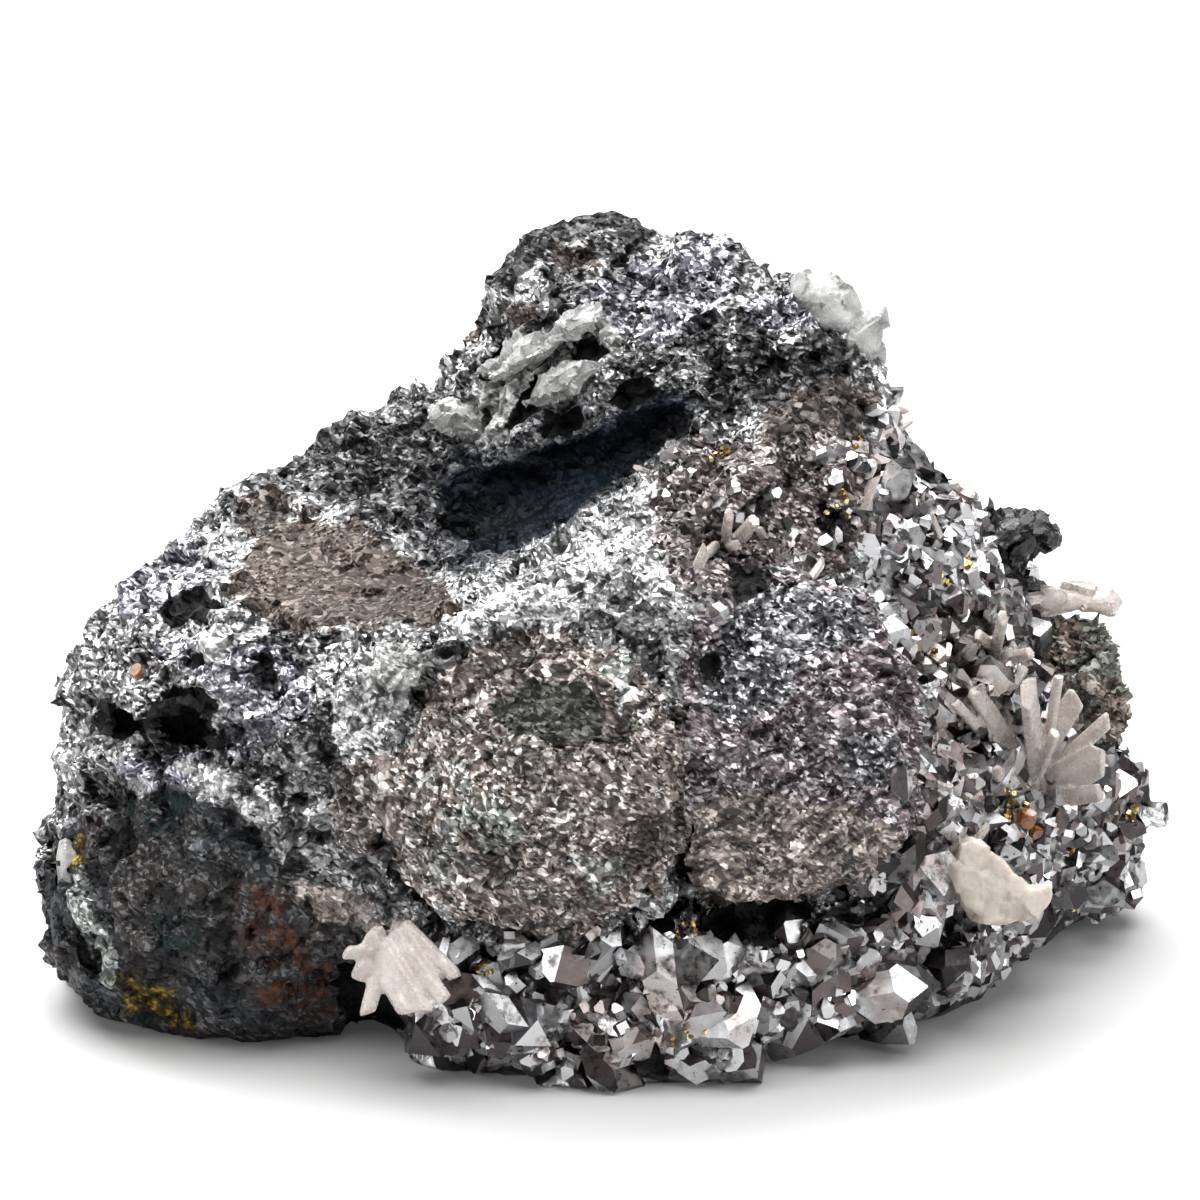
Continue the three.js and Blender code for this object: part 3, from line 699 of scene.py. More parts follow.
# A cloud with soft or hard edges: 0 below one level of a noise and 1 above another
cloud_group, way_in, way_out = shader_group(
    "cloud", {"Scale": NUMBER, "From": NUMBER, "To": NUMBER}, {"Mask": NUMBER}
)
where = place(cloud_group, "ShaderNodeTexCoord").outputs["Object"]
cloud = place(cloud_group, "ShaderNodeTexNoise",
              {"Vector": where, "Scale": way_in["Scale"], "Detail": 3.0, "Roughness": 0.65})
mask = place(cloud_group, "ShaderNodeMapRange",
             {0: cloud.outputs[0], 1: way_in["From"], 2: way_in["To"]}, interpolation_type="SMOOTHSTEP")
cloud_group.links.new(mask.outputs[0], way_out["Mask"])


def filled(tree, group, inputs):
    """The outputs of a node group with these inputs."""
    return place(tree, "ShaderNodeGroup", inputs, node_tree=group).outputs


def cloud_mask(tree, scale, low, high):
    """Clouds of so many waves for each metre, between two levels of their noise."""
    return filled(tree, cloud_group, {"Scale": scale, "From": low, "To": high})["Mask"]


def mix_colour(tree, factor, first, second, blend="MIX"):
    mixed = tree.nodes.new("ShaderNodeMix")
    mixed.data_type = "RGBA"
    mixed.blend_type = blend
    for name, value in (("Factor", factor), (6, first), (7, second)):
        socket = mixed.inputs[name]
        if isinstance(value, bpy.types.NodeSocket):
            tree.links.new(value, socket)
        else:
            socket.default_value = value if isinstance(value, float) else (*value, 1.0)
    return mixed.outputs[2]


def mix_number(tree, factor, first, second):
    return place(tree, "ShaderNodeMix", {"Factor": factor, 2: first, 3: second}).outputs[0]


def ramp(tree, factor, stops):
    """A colour ramp from position and colour pairs."""
    made = tree.nodes.new("ShaderNodeValToRGB")
    band = made.color_ramp
    while len(band.elements) < len(stops):
        band.elements.new(0.5)
    for element, (position, colour) in zip(band.elements, stops):
        element.position = position
        element.color = (*colour, 1.0)
    tree.links.new(factor, made.inputs[0])
    return made.outputs[0]


def tones(tree, tone, colours):
    """Four tones of one grainy stuff, from its dark grains to its glints."""
    return ramp(tree, tone, list(zip((0.05, 0.35, 0.68, 0.95), colours)))


def noise(tree, scale, detail=2.0, roughness=0.6):
    where = place(tree, "ShaderNodeTexCoord").outputs["Object"]
    return place(
        tree, "ShaderNodeTexNoise",
        {"Vector": where, "Scale": scale, "Detail": detail, "Roughness": roughness},
    ).outputs[0]


def fine_bump(tree, scale, distance, strength, detail=2.0, **under):
    """The normal of a fine unevenness, over another normal where one is given."""
    inputs = {"Height": noise(tree, scale, detail), "Distance": distance, "Strength": strength, **under}
    return place(tree, "ShaderNodeBump", inputs).outputs[0]


def share_of(tree, name):
    """A vertex value by its name, out of the vector attribute that holds it where there is one."""
    if name not in share_place:
        return place(tree, "ShaderNodeAttribute", attribute_name=name).outputs["Fac"]
    holder, axis = share_place[name]
    held = place(tree, "ShaderNodeAttribute", attribute_name=holder).outputs["Vector"]
    return place(tree, "ShaderNodeSeparateXYZ", {0: held}).outputs[axis]


def ragged_mask(tree, region, ragged, low=0.44, high=0.56):
    """A region's mask whose border is torn by a noise."""
    return stretch(tree, calc(tree, "ADD", share_of(tree, region), ragged), low, high)


# Four tones of each stuff in the ore, from its dark grains to its glints
ORE_TONES = {
    "metal": [(0.07, 0.07, 0.072), (0.23, 0.23, 0.23), (0.46, 0.46, 0.465), (0.88, 0.88, 0.88)],
    "bright": [(0.26, 0.26, 0.26), (0.5, 0.5, 0.5), (0.72, 0.72, 0.72), (0.96, 0.96, 0.96)],
    "lilac": [(0.1, 0.098, 0.115), (0.28, 0.272, 0.325), (0.5, 0.49, 0.56), (0.86, 0.85, 0.9)],
    "coal": [(0.01, 0.01, 0.011), (0.034, 0.034, 0.035), (0.075, 0.075, 0.077), (0.24, 0.24, 0.25)],
    "soot": [(0.005, 0.005, 0.006), (0.018, 0.018, 0.019), (0.04, 0.04, 0.041), (0.15, 0.15, 0.155)],
    "silver": [(0.015, 0.015, 0.016), (0.12, 0.106, 0.104), (0.34, 0.333, 0.335), (0.62, 0.62, 0.63)],
    "umber": [(0.016, 0.011, 0.009), (0.046, 0.033, 0.026), (0.085, 0.064, 0.053), (0.22, 0.185, 0.165)],
    "mauve": [(0.025, 0.018, 0.02), (0.08, 0.062, 0.063), (0.16, 0.127, 0.126), (0.5, 0.45, 0.44)],
    "fawn": [(0.05, 0.038, 0.032), (0.16, 0.125, 0.108), (0.31, 0.255, 0.23), (0.85, 0.8, 0.76)],
    "plum": [(0.035, 0.026, 0.03), (0.115, 0.09, 0.1), (0.24, 0.195, 0.21), (0.7, 0.65, 0.68)],
    "taupe": [(0.07, 0.056, 0.048), (0.16, 0.13, 0.115), (0.26, 0.215, 0.19), (0.6, 0.55, 0.5)],
    "slate": [(0.025, 0.027, 0.03), (0.08, 0.086, 0.09), (0.2, 0.21, 0.215), (0.7, 0.72, 0.73)],
    "moss": [(0.012, 0.015, 0.011), (0.034, 0.04, 0.03), (0.07, 0.08, 0.062), (0.18, 0.2, 0.16)],
    "frost": [(0.05, 0.053, 0.05), (0.19, 0.2, 0.19), (0.4, 0.42, 0.4), (0.85, 0.88, 0.85)],
    "milk": [(0.24, 0.24, 0.235), (0.46, 0.46, 0.45), (0.6, 0.6, 0.58), (0.85, 0.85, 0.82)],
    "cream": [(0.2, 0.165, 0.15), (0.42, 0.36, 0.33), (0.6, 0.53, 0.49), (0.85, 0.8, 0.77)],
}
# Bright and dark strands along the leaves: how many for each pixel across them and along them
STRANDS_ACROSS = 0.16
STRANDS_ALONG = 0.028
FADING_REGIONS = ("valley", "rust", "teal")
# Region, stuff, metal share, roughness and how much it covers, one laid over the other in turn
REGION_LOOKS = [
    ("lilac", "lilac", 0.85, 0.38, 0.95), ("shoulder", "coal", 0.6, 0.45, 0.9),
    ("knob_cap", "soot", 0.35, 0.5, 1.0), ("overhang_shade_band", "coal", 0.6, 0.45, 0.9),
    ("arch", "bright", 0.85, 0.4, 0.95), ("dish", "umber", 0.25, 0.55, 1.0),
    ("disc", "fawn", 0.4, 0.45, 0.9), ("disc_grey", "frost", 0.7, 0.4, "patchy"),
    ("seam", "fawn", 0.4, 0.45, 0.8), ("plate", "plum", 0.45, 0.42, 0.95),
    ("plate_grey", "slate", 0.7, 0.4, 0.8), ("plate_taupe", "taupe", 0.2, 0.5, 0.9),
    ("tan", "umber", 0.15, 0.55, 0.95), ("druse_bed", "mauve", 0.4, 0.4, 0.95),
    ("rust_spots", "umber", 0.2, 0.6, 0.9), ("crust", "silver", 0.95, 0.3, 1.0),
    ("valley", "valley_shade", 0.5, 0.5, 1.0), ("green_patch", "moss", 0.1, 0.65, 0.9),
    ("lobe", "tarnished_coal", 0.35, 0.45, 1.0), ("teal", "teal", 0.5, 0.4, "patchy"),
    ("rust", "rust", 0.2, 0.5, "patchy"), ("gold_streak", "gold", 0.7, 0.4, 1.0),
    ("pale_band", "milk", 0.0, 0.35, 0.9), ("cream_bed", "cream", 0.0, 0.35, 0.9),
    ("strip", "frost", 0.3, 0.45, 0.9), ("black", "pocket_shade", 0.1, 0.7, 1.0),
]


def ore_material():
    """Grains of metal in the ore's tones, changed region by region, with dark joints, and painted shade in
    pits, in cracks and along leaf steps.
    """
    material, tree, shader = new_material("broken_ore")
    coarse = filled(tree, grain_group, {"Size": 0.0009, "Tilt": 0.95, "Swirl": 3.0})
    fine = filled(tree, grain_group, {"Size": 0.00042, "Tilt": 0.85, "Swirl": 3.0})
    plates = filled(tree, grain_group, {"Size": 0.004, "Tilt": 1.5, "Swirl": 0.1})
    # Fine and coarse grains side by side, and flat plates as wide as crystals in the crust. The joints
    # of the fine grains are too thin to show, so they count as an even shade.
    pick = cloud_mask(tree, 240.0, 0.5, 0.56)
    tone = mix_number(tree, pick, fine["Tone"], coarse["Tone"])
    joint = mix_number(tree, pick, 0.15, coarse["Joint"])
    normal = mix_colour(tree, pick, fine["Normal"], coarse["Normal"])
    in_crust = ragged_mask(tree, "crust", 0.0)
    tone = mix_number(tree, in_crust, tone, plates["Tone"])
    joint = mix_number(tree, in_crust, joint, plates["Joint"])
    normal = mix_colour(tree, in_crust, normal, plates["Normal"])

    paint = {stuff: tones(tree, tone, four) for stuff, four in ORE_TONES.items()}
    # Painted shade: near-black with a faint blue tint of its own, for the valley that lies under the
    # overhanging ledge
    paint["valley_shade"] = ramp(tree, noise(tree, 90.0), [
        (0.4, (0.008, 0.009, 0.011)), (0.6, (0.013, 0.02, 0.033)),
    ])
    tarnish = ramp(tree, noise(tree, 75.0, 2.0, 0.5), [
        (0.3, (0.012, 0.012, 0.013)), (0.42, (0.01, 0.02, 0.034)), (0.5, (0.016, 0.017, 0.018)),
        (0.58, (0.036, 0.023, 0.014)), (0.66, (0.017, 0.017, 0.018)), (0.76, (0.03, 0.015, 0.024)),
    ])
    paint["tarnished_coal"] = mix_colour(tree, 0.45, paint["coal"], tarnish)
    paint["rust"] = ramp(tree, noise(tree, 400.0), [
        (0.35, (0.02, 0.01, 0.01)), (0.5, (0.07, 0.025, 0.014)), (0.65, (0.16, 0.055, 0.015)),
    ])
    paint["gold"] = ramp(tree, noise(tree, 600.0), [
        (0.42, (0.02, 0.017, 0.012)), (0.54, (0.12, 0.075, 0.015)), (0.66, (0.42, 0.3, 0.05)),
    ])
    paint["teal"] = (0.01, 0.022, 0.024)
    # Near-black painted shade for the pockets and gaps
    paint["pocket_shade"] = (0.004, 0.004, 0.005)

    colour = mix_colour(tree, cloud_mask(tree, 110.0, 0.56, 0.64), paint["metal"], paint["coal"])
    colour = mix_colour(tree, cloud_mask(tree, 150.0, 0.62, 0.68), colour, paint["milk"])
    metallic = np.full(len(points), 0.85)
    roughness = np.full(len(points), 0.4)
    # A noise around 0 that tears a region's border, and a weaker one for the borders that fade
    ragged = calc(tree, "MULTIPLY", calc(tree, "SUBTRACT", noise(tree, 190.0, 4.0, 0.7), 0.5), 1.7)
    hazy = calc(tree, "MULTIPLY", ragged, 0.4)
    patchy = cloud_mask(tree, 260.0, 0.42, 0.6)
    for region, stuff, metal_share, rough, cover in REGION_LOOKS:
        if region in FADING_REGIONS:
            border = ragged_mask(tree, region, hazy, 0.1, 0.6)
        else:
            border = ragged_mask(tree, region, ragged)
        mask = calc(tree, "MULTIPLY", border, patchy if cover == "patchy" else cover)
        colour = mix_colour(tree, mask, colour, paint[stuff])
        inside = np.clip(2.5 * shares[region] - 0.75, 0, 1)
        metallic += inside * (metal_share - metallic)
        roughness += inside * (rough - roughness)
    write_three(ore.data, "surface", {"metallic": metallic, "roughness": roughness})
    colour = mix_colour(tree, calc(tree, "MULTIPLY", joint, 0.5), colour, (0.012, 0.012, 0.013))
    lighter = stretch(tree, noise(tree, 120.0, 3.0, 0.7), 0.3, 0.7, 0.55, 1.45)
    colour = mix_colour(tree, 1.0, colour, lighter, "MULTIPLY")
    strands = place(tree, "ShaderNodeCombineXYZ", {
        0: calc(tree, "MULTIPLY", share_of(tree, "flow_across"), STRANDS_ACROSS),
        1: calc(tree, "MULTIPLY", share_of(tree, "flow_along"), STRANDS_ALONG),
    })
    strand = place(tree, "ShaderNodeTexNoise", {"Vector": strands.outputs[0], "Scale": 1.0, "Detail": 2.0})
    strand = stretch(tree, strand.outputs[0], 0.36, 0.62, 0.42, 1.65)
    colour = mix_colour(tree, calc(tree, "MULTIPLY", share_of(tree, "flow_share"), 0.85), colour, strand,
                        "MULTIPLY")
    # Painted shade: the colour darkens in the skin's pits, in the cracks and along the steps under the leaf
    # edges, where shade falls in them
    pit_shade = stretch(tree, share_of(tree, "relief"), -0.0017, -0.0004, 0.8, 0.0)
    dark = calc(tree, "MAXIMUM", pit_shade, share_of(tree, "crack"))
    dark = calc(tree, "MAXIMUM", dark, calc(tree, "MULTIPLY", share_of(tree, "leaf_edge"), 0.75))
    colour = mix_colour(tree, dark, colour, (0.008, 0.008, 0.009))
    fill(tree, shader, {
        "Base Color": colour, "Metallic": share_of(tree, "metallic"),
        "Roughness": share_of(tree, "roughness"), "Specular IOR Level": 0.25,
        "Normal": fine_bump(tree, 1700.0, 0.0003, 0.4, Normal=normal),
    })
    return material


broken_ore = ore_material()


def dress(piece, material, slot_name=None, smooth=False):
    """Gives the whole piece one material and, where a slot is named, lets it ride on the root body."""
    piece.data.materials.clear()
    piece.data.materials.append(material)
    piece.data.polygons.foreach_set("material_index", [0] * len(piece.data.polygons))
    piece.data.polygons.foreach_set("use_smooth", [smooth] * len(piece.data.polygons))
    if slot_name:
        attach(piece, "root")


dress(ore, broken_ore)
# The skin between the crystals is smooth, so that its plates look flat and not chipped
smooth_crust = [shares["crust"][face.vertices[0]] > 0.5 for face in ore.data.polygons]
ore.data.polygons.foreach_set("use_smooth", smooth_crust)

# Ore chips
# Half-loose flakes and grains of the same ore that stand up all over the broken skin and glint one
# by one. Each is a thin splinter of a few faces, set in the skin at its own slant.


def flake_shape(name, size):
    """A splinter with four slanting faces and a base."""
    bpy.ops.object.select_all(action="DESELECT")
    bpy.ops.mesh.primitive_cone_add(vertices=4, radius1=0.6, depth=0.9)
    shape = bpy.context.object
    shape.name = name
    shape.scale = size
    bpy.ops.object.transform_apply(location=True, rotation=True, scale=True)
    return shape


FULL_TURN = 6.283
# Points tried in a square as wide as the spacing, before those too close to another are dropped
POINTS_TRIED = 1.3


def scatter(name, surface, shapes, share, spacing, sizes, seed, sink, lean, by_face=False):
    """Copies of the shapes over a surface where an attribute allows, joined to one mesh.

    Each leans from the skin's normal by up to lean, and sinks by sink of its own size. A random tone
    is kept for each copy, or for each of its faces."""
    box = bpy.data.collections.new(f"{name}_shapes")
    for shape in shapes:
        for holder in shape.users_collection:
            holder.objects.unlink(shape)
        box.objects.link(shape)
    piece = bpy.data.objects.new(name, surface.data.copy())
    bpy.context.scene.collection.objects.link(piece)
    tree, way_in, way_out = geometry_tree(f"{name}_scatter")
    spots = place(
        tree, "GeometryNodeDistributePointsOnFaces",
        {"Mesh": way_in.outputs[0], "Distance Min": spacing, "Density Max": POINTS_TRIED / spacing**2,
         "Density Factor": named(tree, share), "Seed": seed},
        distribute_method="POISSON",
    )
    stock = place(
        tree, "GeometryNodeCollectionInfo",
        {"Collection": box, "Separate Children": True, "Reset Children": True},
    )
    turn = place(
        tree, "FunctionNodeRandomValue",
        {0: (-lean, -lean, 0), 1: (lean, lean, FULL_TURN), "Seed": seed}, data_type="FLOAT_VECTOR",
    )
    turn = place(tree, "FunctionNodeEulerToRotation", {0: turn.outputs[0]})
    turn = place(
        tree, "FunctionNodeRotateRotation",
        {"Rotation": spots.outputs["Rotation"], "Rotate By": turn.outputs[0]}, rotation_space="LOCAL",
    )
    size = place(tree, "FunctionNodeRandomValue", {2: sizes[0], 3: sizes[1], "Seed": seed + 1},
                 data_type="FLOAT")
    tone = place(tree, "FunctionNodeRandomValue", {"Seed": seed + 2}, data_type="FLOAT")
    seated = place(
        tree, "GeometryNodeSetPosition",
        {"Geometry": spots.outputs[0],
         "Offset": scaled(tree, spots.outputs["Normal"], calc(tree, "MULTIPLY", size.outputs[1], -sink))},
    )
    copies = place(
        tree, "GeometryNodeInstanceOnPoints",
        {"Points": seated.outputs[0], "Instance": stock.outputs[0], "Pick Instance": True,
         "Rotation": turn.outputs[0], "Scale": size.outputs[1]},
    )
    joined = place(tree, "GeometryNodeRealizeInstances", {"Geometry": copies.outputs[0]})
    toned = place(
        tree, "GeometryNodeStoreNamedAttribute",
        {"Geometry": joined.outputs[0], "Name": "tone", "Value": tone.outputs[1]},
        data_type="FLOAT", domain="FACE" if by_face else "POINT",
    )
    tree.links.new(toned.outputs[0], way_out.inputs[0])
    apply_tree(piece, tree)
    for shape in shapes:
        bpy.data.objects.remove(shape)
    bpy.data.collections.remove(box)
    keep_above_table(piece)
    return piece


points = point_array(ore.data)
clear_of_table = np.clip((points[:, 2] - 1.5 * MM) / MM, 0, 1)
chip_share = lowered({
    "arch": 0.4, "left_block": 0.35, "lobe": 0.4, "valley": 0.9, "crust": 0.9, "dish": 0.7,
    "knob_cap": 0.75, "black": 0.9, "green_patch": 0.8, "shoulder": 0.3, "disc": 0.3, "plate": 0.3,
    "plate_taupe": 0.6,
})
write_share(ore.data, "chips", chip_share * clear_of_table)
chips = scatter(
    "ore_chips", ore, [flake_shape("leaf", (1, 0.55, 0.28)), flake_shape("grain", (0.8, 0.7, 0.6))],
    "chips", 0.00095, (0.0006, 0.0013), 21, 0.1, 0.45,
)
dress(chips, broken_ore, "ore")
flaky = np.maximum(shares["arch"], 0.8 * shares["lilac"]) * (1 - shares["black"])
write_share(ore.data, "flaky", flaky * clear_of_table)
flakes = scatter(
    "silver_flakes", ore,
    [flake_shape("long_leaf", (1, 0.42, 0.14)), flake_shape("broad_leaf", (1, 0.75, 0.16))],
    "flaky", 0.0023, (0.0014, 0.003), 27, 0.08, 0.3,
)
dress(flakes, broken_ore, "ore")

# Metallic crystals
# The crust on the front foot and the right flank: flat-faced silver crystals, blocks, octahedra and
# plates grown through each other, with mirror-bright faces and dark gaps between them.


def cut_off(point, outward):
    """Cuts away what lies on the outer side of a plane, in edit mode."""
    bpy.ops.mesh.select_all(action="SELECT")
    bpy.ops.mesh.bisect(plane_co=point, plane_no=outward, clear_outer=True, use_fill=True)


def crystal_shape(name, size, unevenness, seed, corner_reach=0.5):
    """One crystal habit: a block whose corners are cut by flat faces at uneven distances."""
    chance = np.random.default_rng(seed)
    bpy.ops.object.select_all(action="DESELECT")
    bpy.ops.mesh.primitive_cube_add(size=1)
    shape = bpy.context.object
    shape.name = name
    bpy.ops.object.mode_set(mode="EDIT")
    for corner in range(8):
        side = Vector([1 if corner & bit else -1 for bit in (1, 2, 4)]).normalized()
        reach = corner_reach + unevenness * float(chance.uniform(-1, 1))
        cut_off(side * reach, side)
    bpy.ops.object.mode_set(mode="OBJECT")
    shape.scale = size
    bpy.ops.object.transform_apply(location=True, rotation=True, scale=True)
    return shape


# Where the crystals stand: large ones low in front, medium ones all over, small ones also higher up
crust = shares["crust"] * clear_of_table
crust *= np.clip((73 * MM - points[:, 0]) / (2 * MM), 0, 1)
front = np.clip((52 * MM - points[:, 0]) / (10 * MM), 0, 1)
low = np.clip((30 * MM - points[:, 2]) / (8 * MM), 0, 1)
high = np.clip((points[:, 2] - 46 * MM) / (6 * MM), 0, 1)
upper = np.maximum(shares["druse_bed"], shares["crust"] * high)
write_share(ore.data, "crust_low", crust * low * front)
write_share(ore.data, "crust_all", crust * (1 - 0.5 * low * front) + 0.05 * shares["druse_bed"])
write_share(ore.data, "crust_fine", np.maximum(0.5 * crust, 0.15 * upper))
large_crystals = scatter("large_crystals", ore, [
    crystal_shape("cut_block", (1, 0.9, 0.72), 0.16, 1, 0.62),
    crystal_shape("broad_plate", (1.3, 1.1, 0.6), 0.18, 2, 0.56),
    crystal_shape("thick_plate", (1.25, 1.0, 0.4), 0.2, 3, 0.62),
    crystal_shape("uneven_octahedron", (1.2, 0.9, 0.9), 0.2, 4, 0.46),
], "crust_low", 0.0032, (0.0052, 0.0092), 4, 0.44, 0.45, by_face=True)
medium_crystals = scatter("medium_crystals", ore, [
    crystal_shape("block", (1, 0.9, 0.8), 0.15, 5, 0.6),
    crystal_shape("small_plate", (1.2, 1, 0.7), 0.2, 6, 0.52),
    crystal_shape("plate", (1.3, 0.95, 0.45), 0.2, 7, 0.6),
], "crust_all", 0.0024, (0.003, 0.0058), 9, 0.34, 0.6, by_face=True)
small_crystals = scatter("small_crystals", ore, [
    crystal_shape("tiny_block", (1, 0.9, 0.8), 0.12, 8, 0.6),
    crystal_shape("tiny_octahedron", (1.1, 1, 1), 0.1, 9, 0.44),
], "crust_fine", 0.0016, (0.0014, 0.0028), 15, 0.1, 1.0, by_face=True)


def crystal_material():
    material, tree, shader = new_material("bright_crystal_metal")
    silver = ramp(tree, share_of(tree, "tone"), [
        (0.0, (0.025, 0.025, 0.027)), (0.15, (0.08, 0.074, 0.078)), (0.22, (0.13, 0.105, 0.11)),
        (0.3, (0.22, 0.185, 0.175)), (0.38, (0.28, 0.28, 0.29)), (0.6, (0.46, 0.46, 0.47)),
        (0.82, (0.62, 0.62, 0.63)), (1.0, (0.8, 0.8, 0.81)),
    ])
    colour = mix_colour(tree, cloud_mask(tree, 300.0, 0.56, 0.72), silver, (0.13, 0.115, 0.115))
    colour = mix_colour(tree, cloud_mask(tree, 1500.0, 0.64, 0.7), colour, (0.05, 0.045, 0.045))
    brown = calc(tree, "MULTIPLY", cloud_mask(tree, 75.0, 0.54, 0.6), 0.5)
    colour = mix_colour(tree, brown, colour, (0.7, 0.56, 0.5), "MULTIPLY")
    fill(tree, shader, {
        "Base Color": colour, "Metallic": 1.0,
        "Roughness": stretch(tree, noise(tree, 700.0), 0.3, 0.7, 0.2, 0.45),
        "Normal": fine_bump(tree, 800.0, 0.0002, 0.15),
    })
    return material


bright_crystal_metal = crystal_material()
for crystals in (large_crystals, medium_crystals, small_crystals):
    dress(crystals, bright_crystal_metal, "ore")

# Brass-coloured grains
# Little clusters of chalcopyrite cubes that sit between the metal crystals and glint like brass.
# The spots are where the clusters show in the picture.
BRASS_SPOTS = [
    (722, 460), (840, 505), (856, 448), (1030, 548), (940, 580), (906, 637), (928, 653), (485, 972),
    (688, 930), (690, 1030), (938, 984), (1011, 802), (1003, 820), (1056, 791), (1067, 855), (1071, 898),
    (1129, 810), (676, 1036), (704, 1026), (962, 566),
]
near_brass = np.zeros(len(points))
for spot in BRASS_SPOTS:
    found = on_ore(*spot)
    if found is not None:
        gap = np.linalg.norm(points - np.array(found), axis=1)
        near_brass = np.maximum(near_brass, np.clip(1.5 - gap / MM, 0, 1))
write_share(ore.data, "near_brass", near_brass)
brass_grains = scatter("brass_grains", ore, [crystal_shape("brass_cube", (1, 0.9, 0.9), 0.1, 31, 0.62)],
                       "near_brass", 0.00065, (0.0005, 0.001), 33, -1.6, 3.0, by_face=True)
brass, tree, shader = new_material("brass_coloured_grain")
yellow = ramp(tree, share_of(tree, "tone"), [
    (0.0, (0.16, 0.1, 0.03)), (0.5, (0.5, 0.36, 0.13)), (1.0, (0.9, 0.78, 0.42)),
])
body = mix_colour(tree, cloud_mask(tree, 1200.0, 0.5, 0.7), yellow, (0.32, 0.17, 0.05))
fill(tree, shader, {"Base Color": body, "Metallic": 1.0, "Roughness": 0.24})
dress(brass_grains, brass, "ore")

# Amber crystals
# A few orange-brown cubes of zinc ore, clear enough to glow, on the right flank and the left block.


def joined_as(name, pieces):
    """One object of all the pieces."""
    bpy.ops.object.select_all(action="DESELECT")
    for piece in pieces:
        piece.select_set(True)
    bpy.context.view_layer.objects.active = pieces[0]
    bpy.ops.object.join()
    bpy.context.object.name = name
    return bpy.context.object


# Place in the picture, side in millimetres and seed of each cube
AMBER_SPOTS = [((1026, 818), 2.0, 1), ((1035, 832), 1.4, 2), ((1018, 836), 1.2, 3), ((138, 672), 1.6, 4)]
amber_cubes = []
for spot, side, seed in AMBER_SPOTS:
    cube = crystal_shape(f"amber_{seed}", (side * MM, side * 0.8 * MM, side * 1.1 * MM), 0.08, seed, 0.68)
    cube.location = on_ore(*spot) - ahead * 1.4 * MM
    cube.rotation_euler = (0.4, 0.2 * seed, 0.3 * seed)
    bpy.ops.object.transform_apply(location=True, rotation=True, scale=True)
    amber_cubes.append(cube)
amber_crystals = joined_as("amber_crystals", amber_cubes)
amber, tree, shader = new_material("amber_zinc_ore")
body = ramp(tree, noise(tree, 900.0), [(0.35, (0.08, 0.022, 0.005)), (0.6, (0.3, 0.095, 0.012))])
fill(tree, shader, {
    "Base Color": body, "Roughness": mix_number(tree, cloud_mask(tree, 800.0, 0.4, 0.6), 0.12, 0.35),
    "Transmission Weight": 0.1, "IOR": 1.8,
})
dress(amber_crystals, amber, "sphalerite")

# Quartz
# Milky to clear prisms and masses that grew in the ore's gaps, pinkish cream from fine stains.


def quartz(name, tint, dim, milky, transmission):
    """Quartz with milky clouds, a slightly uneven polish and fine stains."""
    material, tree, shader = new_material(name)
    body = mix_colour(tree, cloud_mask(tree, 260.0, 0.35, 0.65), dim, tint)
    body = mix_colour(tree, cloud_mask(tree, 520.0, 0.55, 0.75), body, milky)
    body = mix_colour(tree, cloud_mask(tree, 1400.0, 0.7, 0.78), body, (0.45, 0.4, 0.36))
    fill(tree, shader, {
        "Base Color": body, "Roughness": stretch(tree, noise(tree, 900.0), 0.35, 0.65, 0.12, 0.42),
        "IOR": 1.54, "Transmission Weight": transmission,
        "Normal": fine_bump(tree, 1300.0, 0.0003, 0.35, detail=3.0),
    })
    return material


cream_quartz = quartz("cream_quartz", (0.84, 0.775, 0.735), (0.68, 0.605, 0.565), (0.9, 0.875, 0.85), 0.45)
grey_quartz = quartz("grey_quartz", (0.7, 0.7, 0.69), (0.46, 0.46, 0.45), (0.84, 0.84, 0.83), 0.4)


def crystal_stem(root, tip, width, thickness, slants):
    """A six-sided prism from its root to its tip, flattened, with an end cut by slanting planes."""
    run = tip - root
    bpy.ops.object.select_all(action="DESELECT")
    bpy.ops.mesh.primitive_cone_add(vertices=6, radius1=0.5, radius2=0.42, depth=run.length,
                                    location=(0, 0, run.length / 2))
    stem = bpy.context.object
    bpy.ops.object.transform_apply(location=True, rotation=False, scale=False)
    stem.scale = (width, thickness, 1)
    bpy.ops.object.transform_apply(location=False, rotation=False, scale=True)
    bpy.ops.object.mode_set(mode="EDIT")
    for slant, back in slants:
        cut_off((0, 0, run.length - back * width), slant)
    bpy.ops.object.mode_set(mode="OBJECT")
    stem.rotation_euler = run.to_track_quat("Z", "X").to_euler()
    stem.location = root
    bpy.ops.object.transform_apply(location=True, rotation=True, scale=False)
    return stem


def crystal_fan(name, stems, voxel, node, softness=1):
    """Stems that grew together at the root, merged to one skin."""
    grown = []
    for index, (root, tip, width, thickness) in enumerate(stems):
        chance = np.random.default_rng(100 + index)
        slants = [
            ((float(chance.uniform(-0.9, 0.9)), float(chance.uniform(-0.6, 0.6)), 1.0), back)
            for back in (0.25, 0.45)
        ]
        grown.append(crystal_stem(
            from_ore_middle(*root), from_ore_middle(*tip), width * MM, thickness * MM, slants
        ))
    fan = joined_as(name, grown)
    remesh(fan, voxel)
    modifier = fan.modifiers.new("worn_edges", "SMOOTH")
    modifier.iterations = softness
    bpy.ops.object.modifier_apply(modifier=modifier.name)
    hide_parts(node)
    return fan


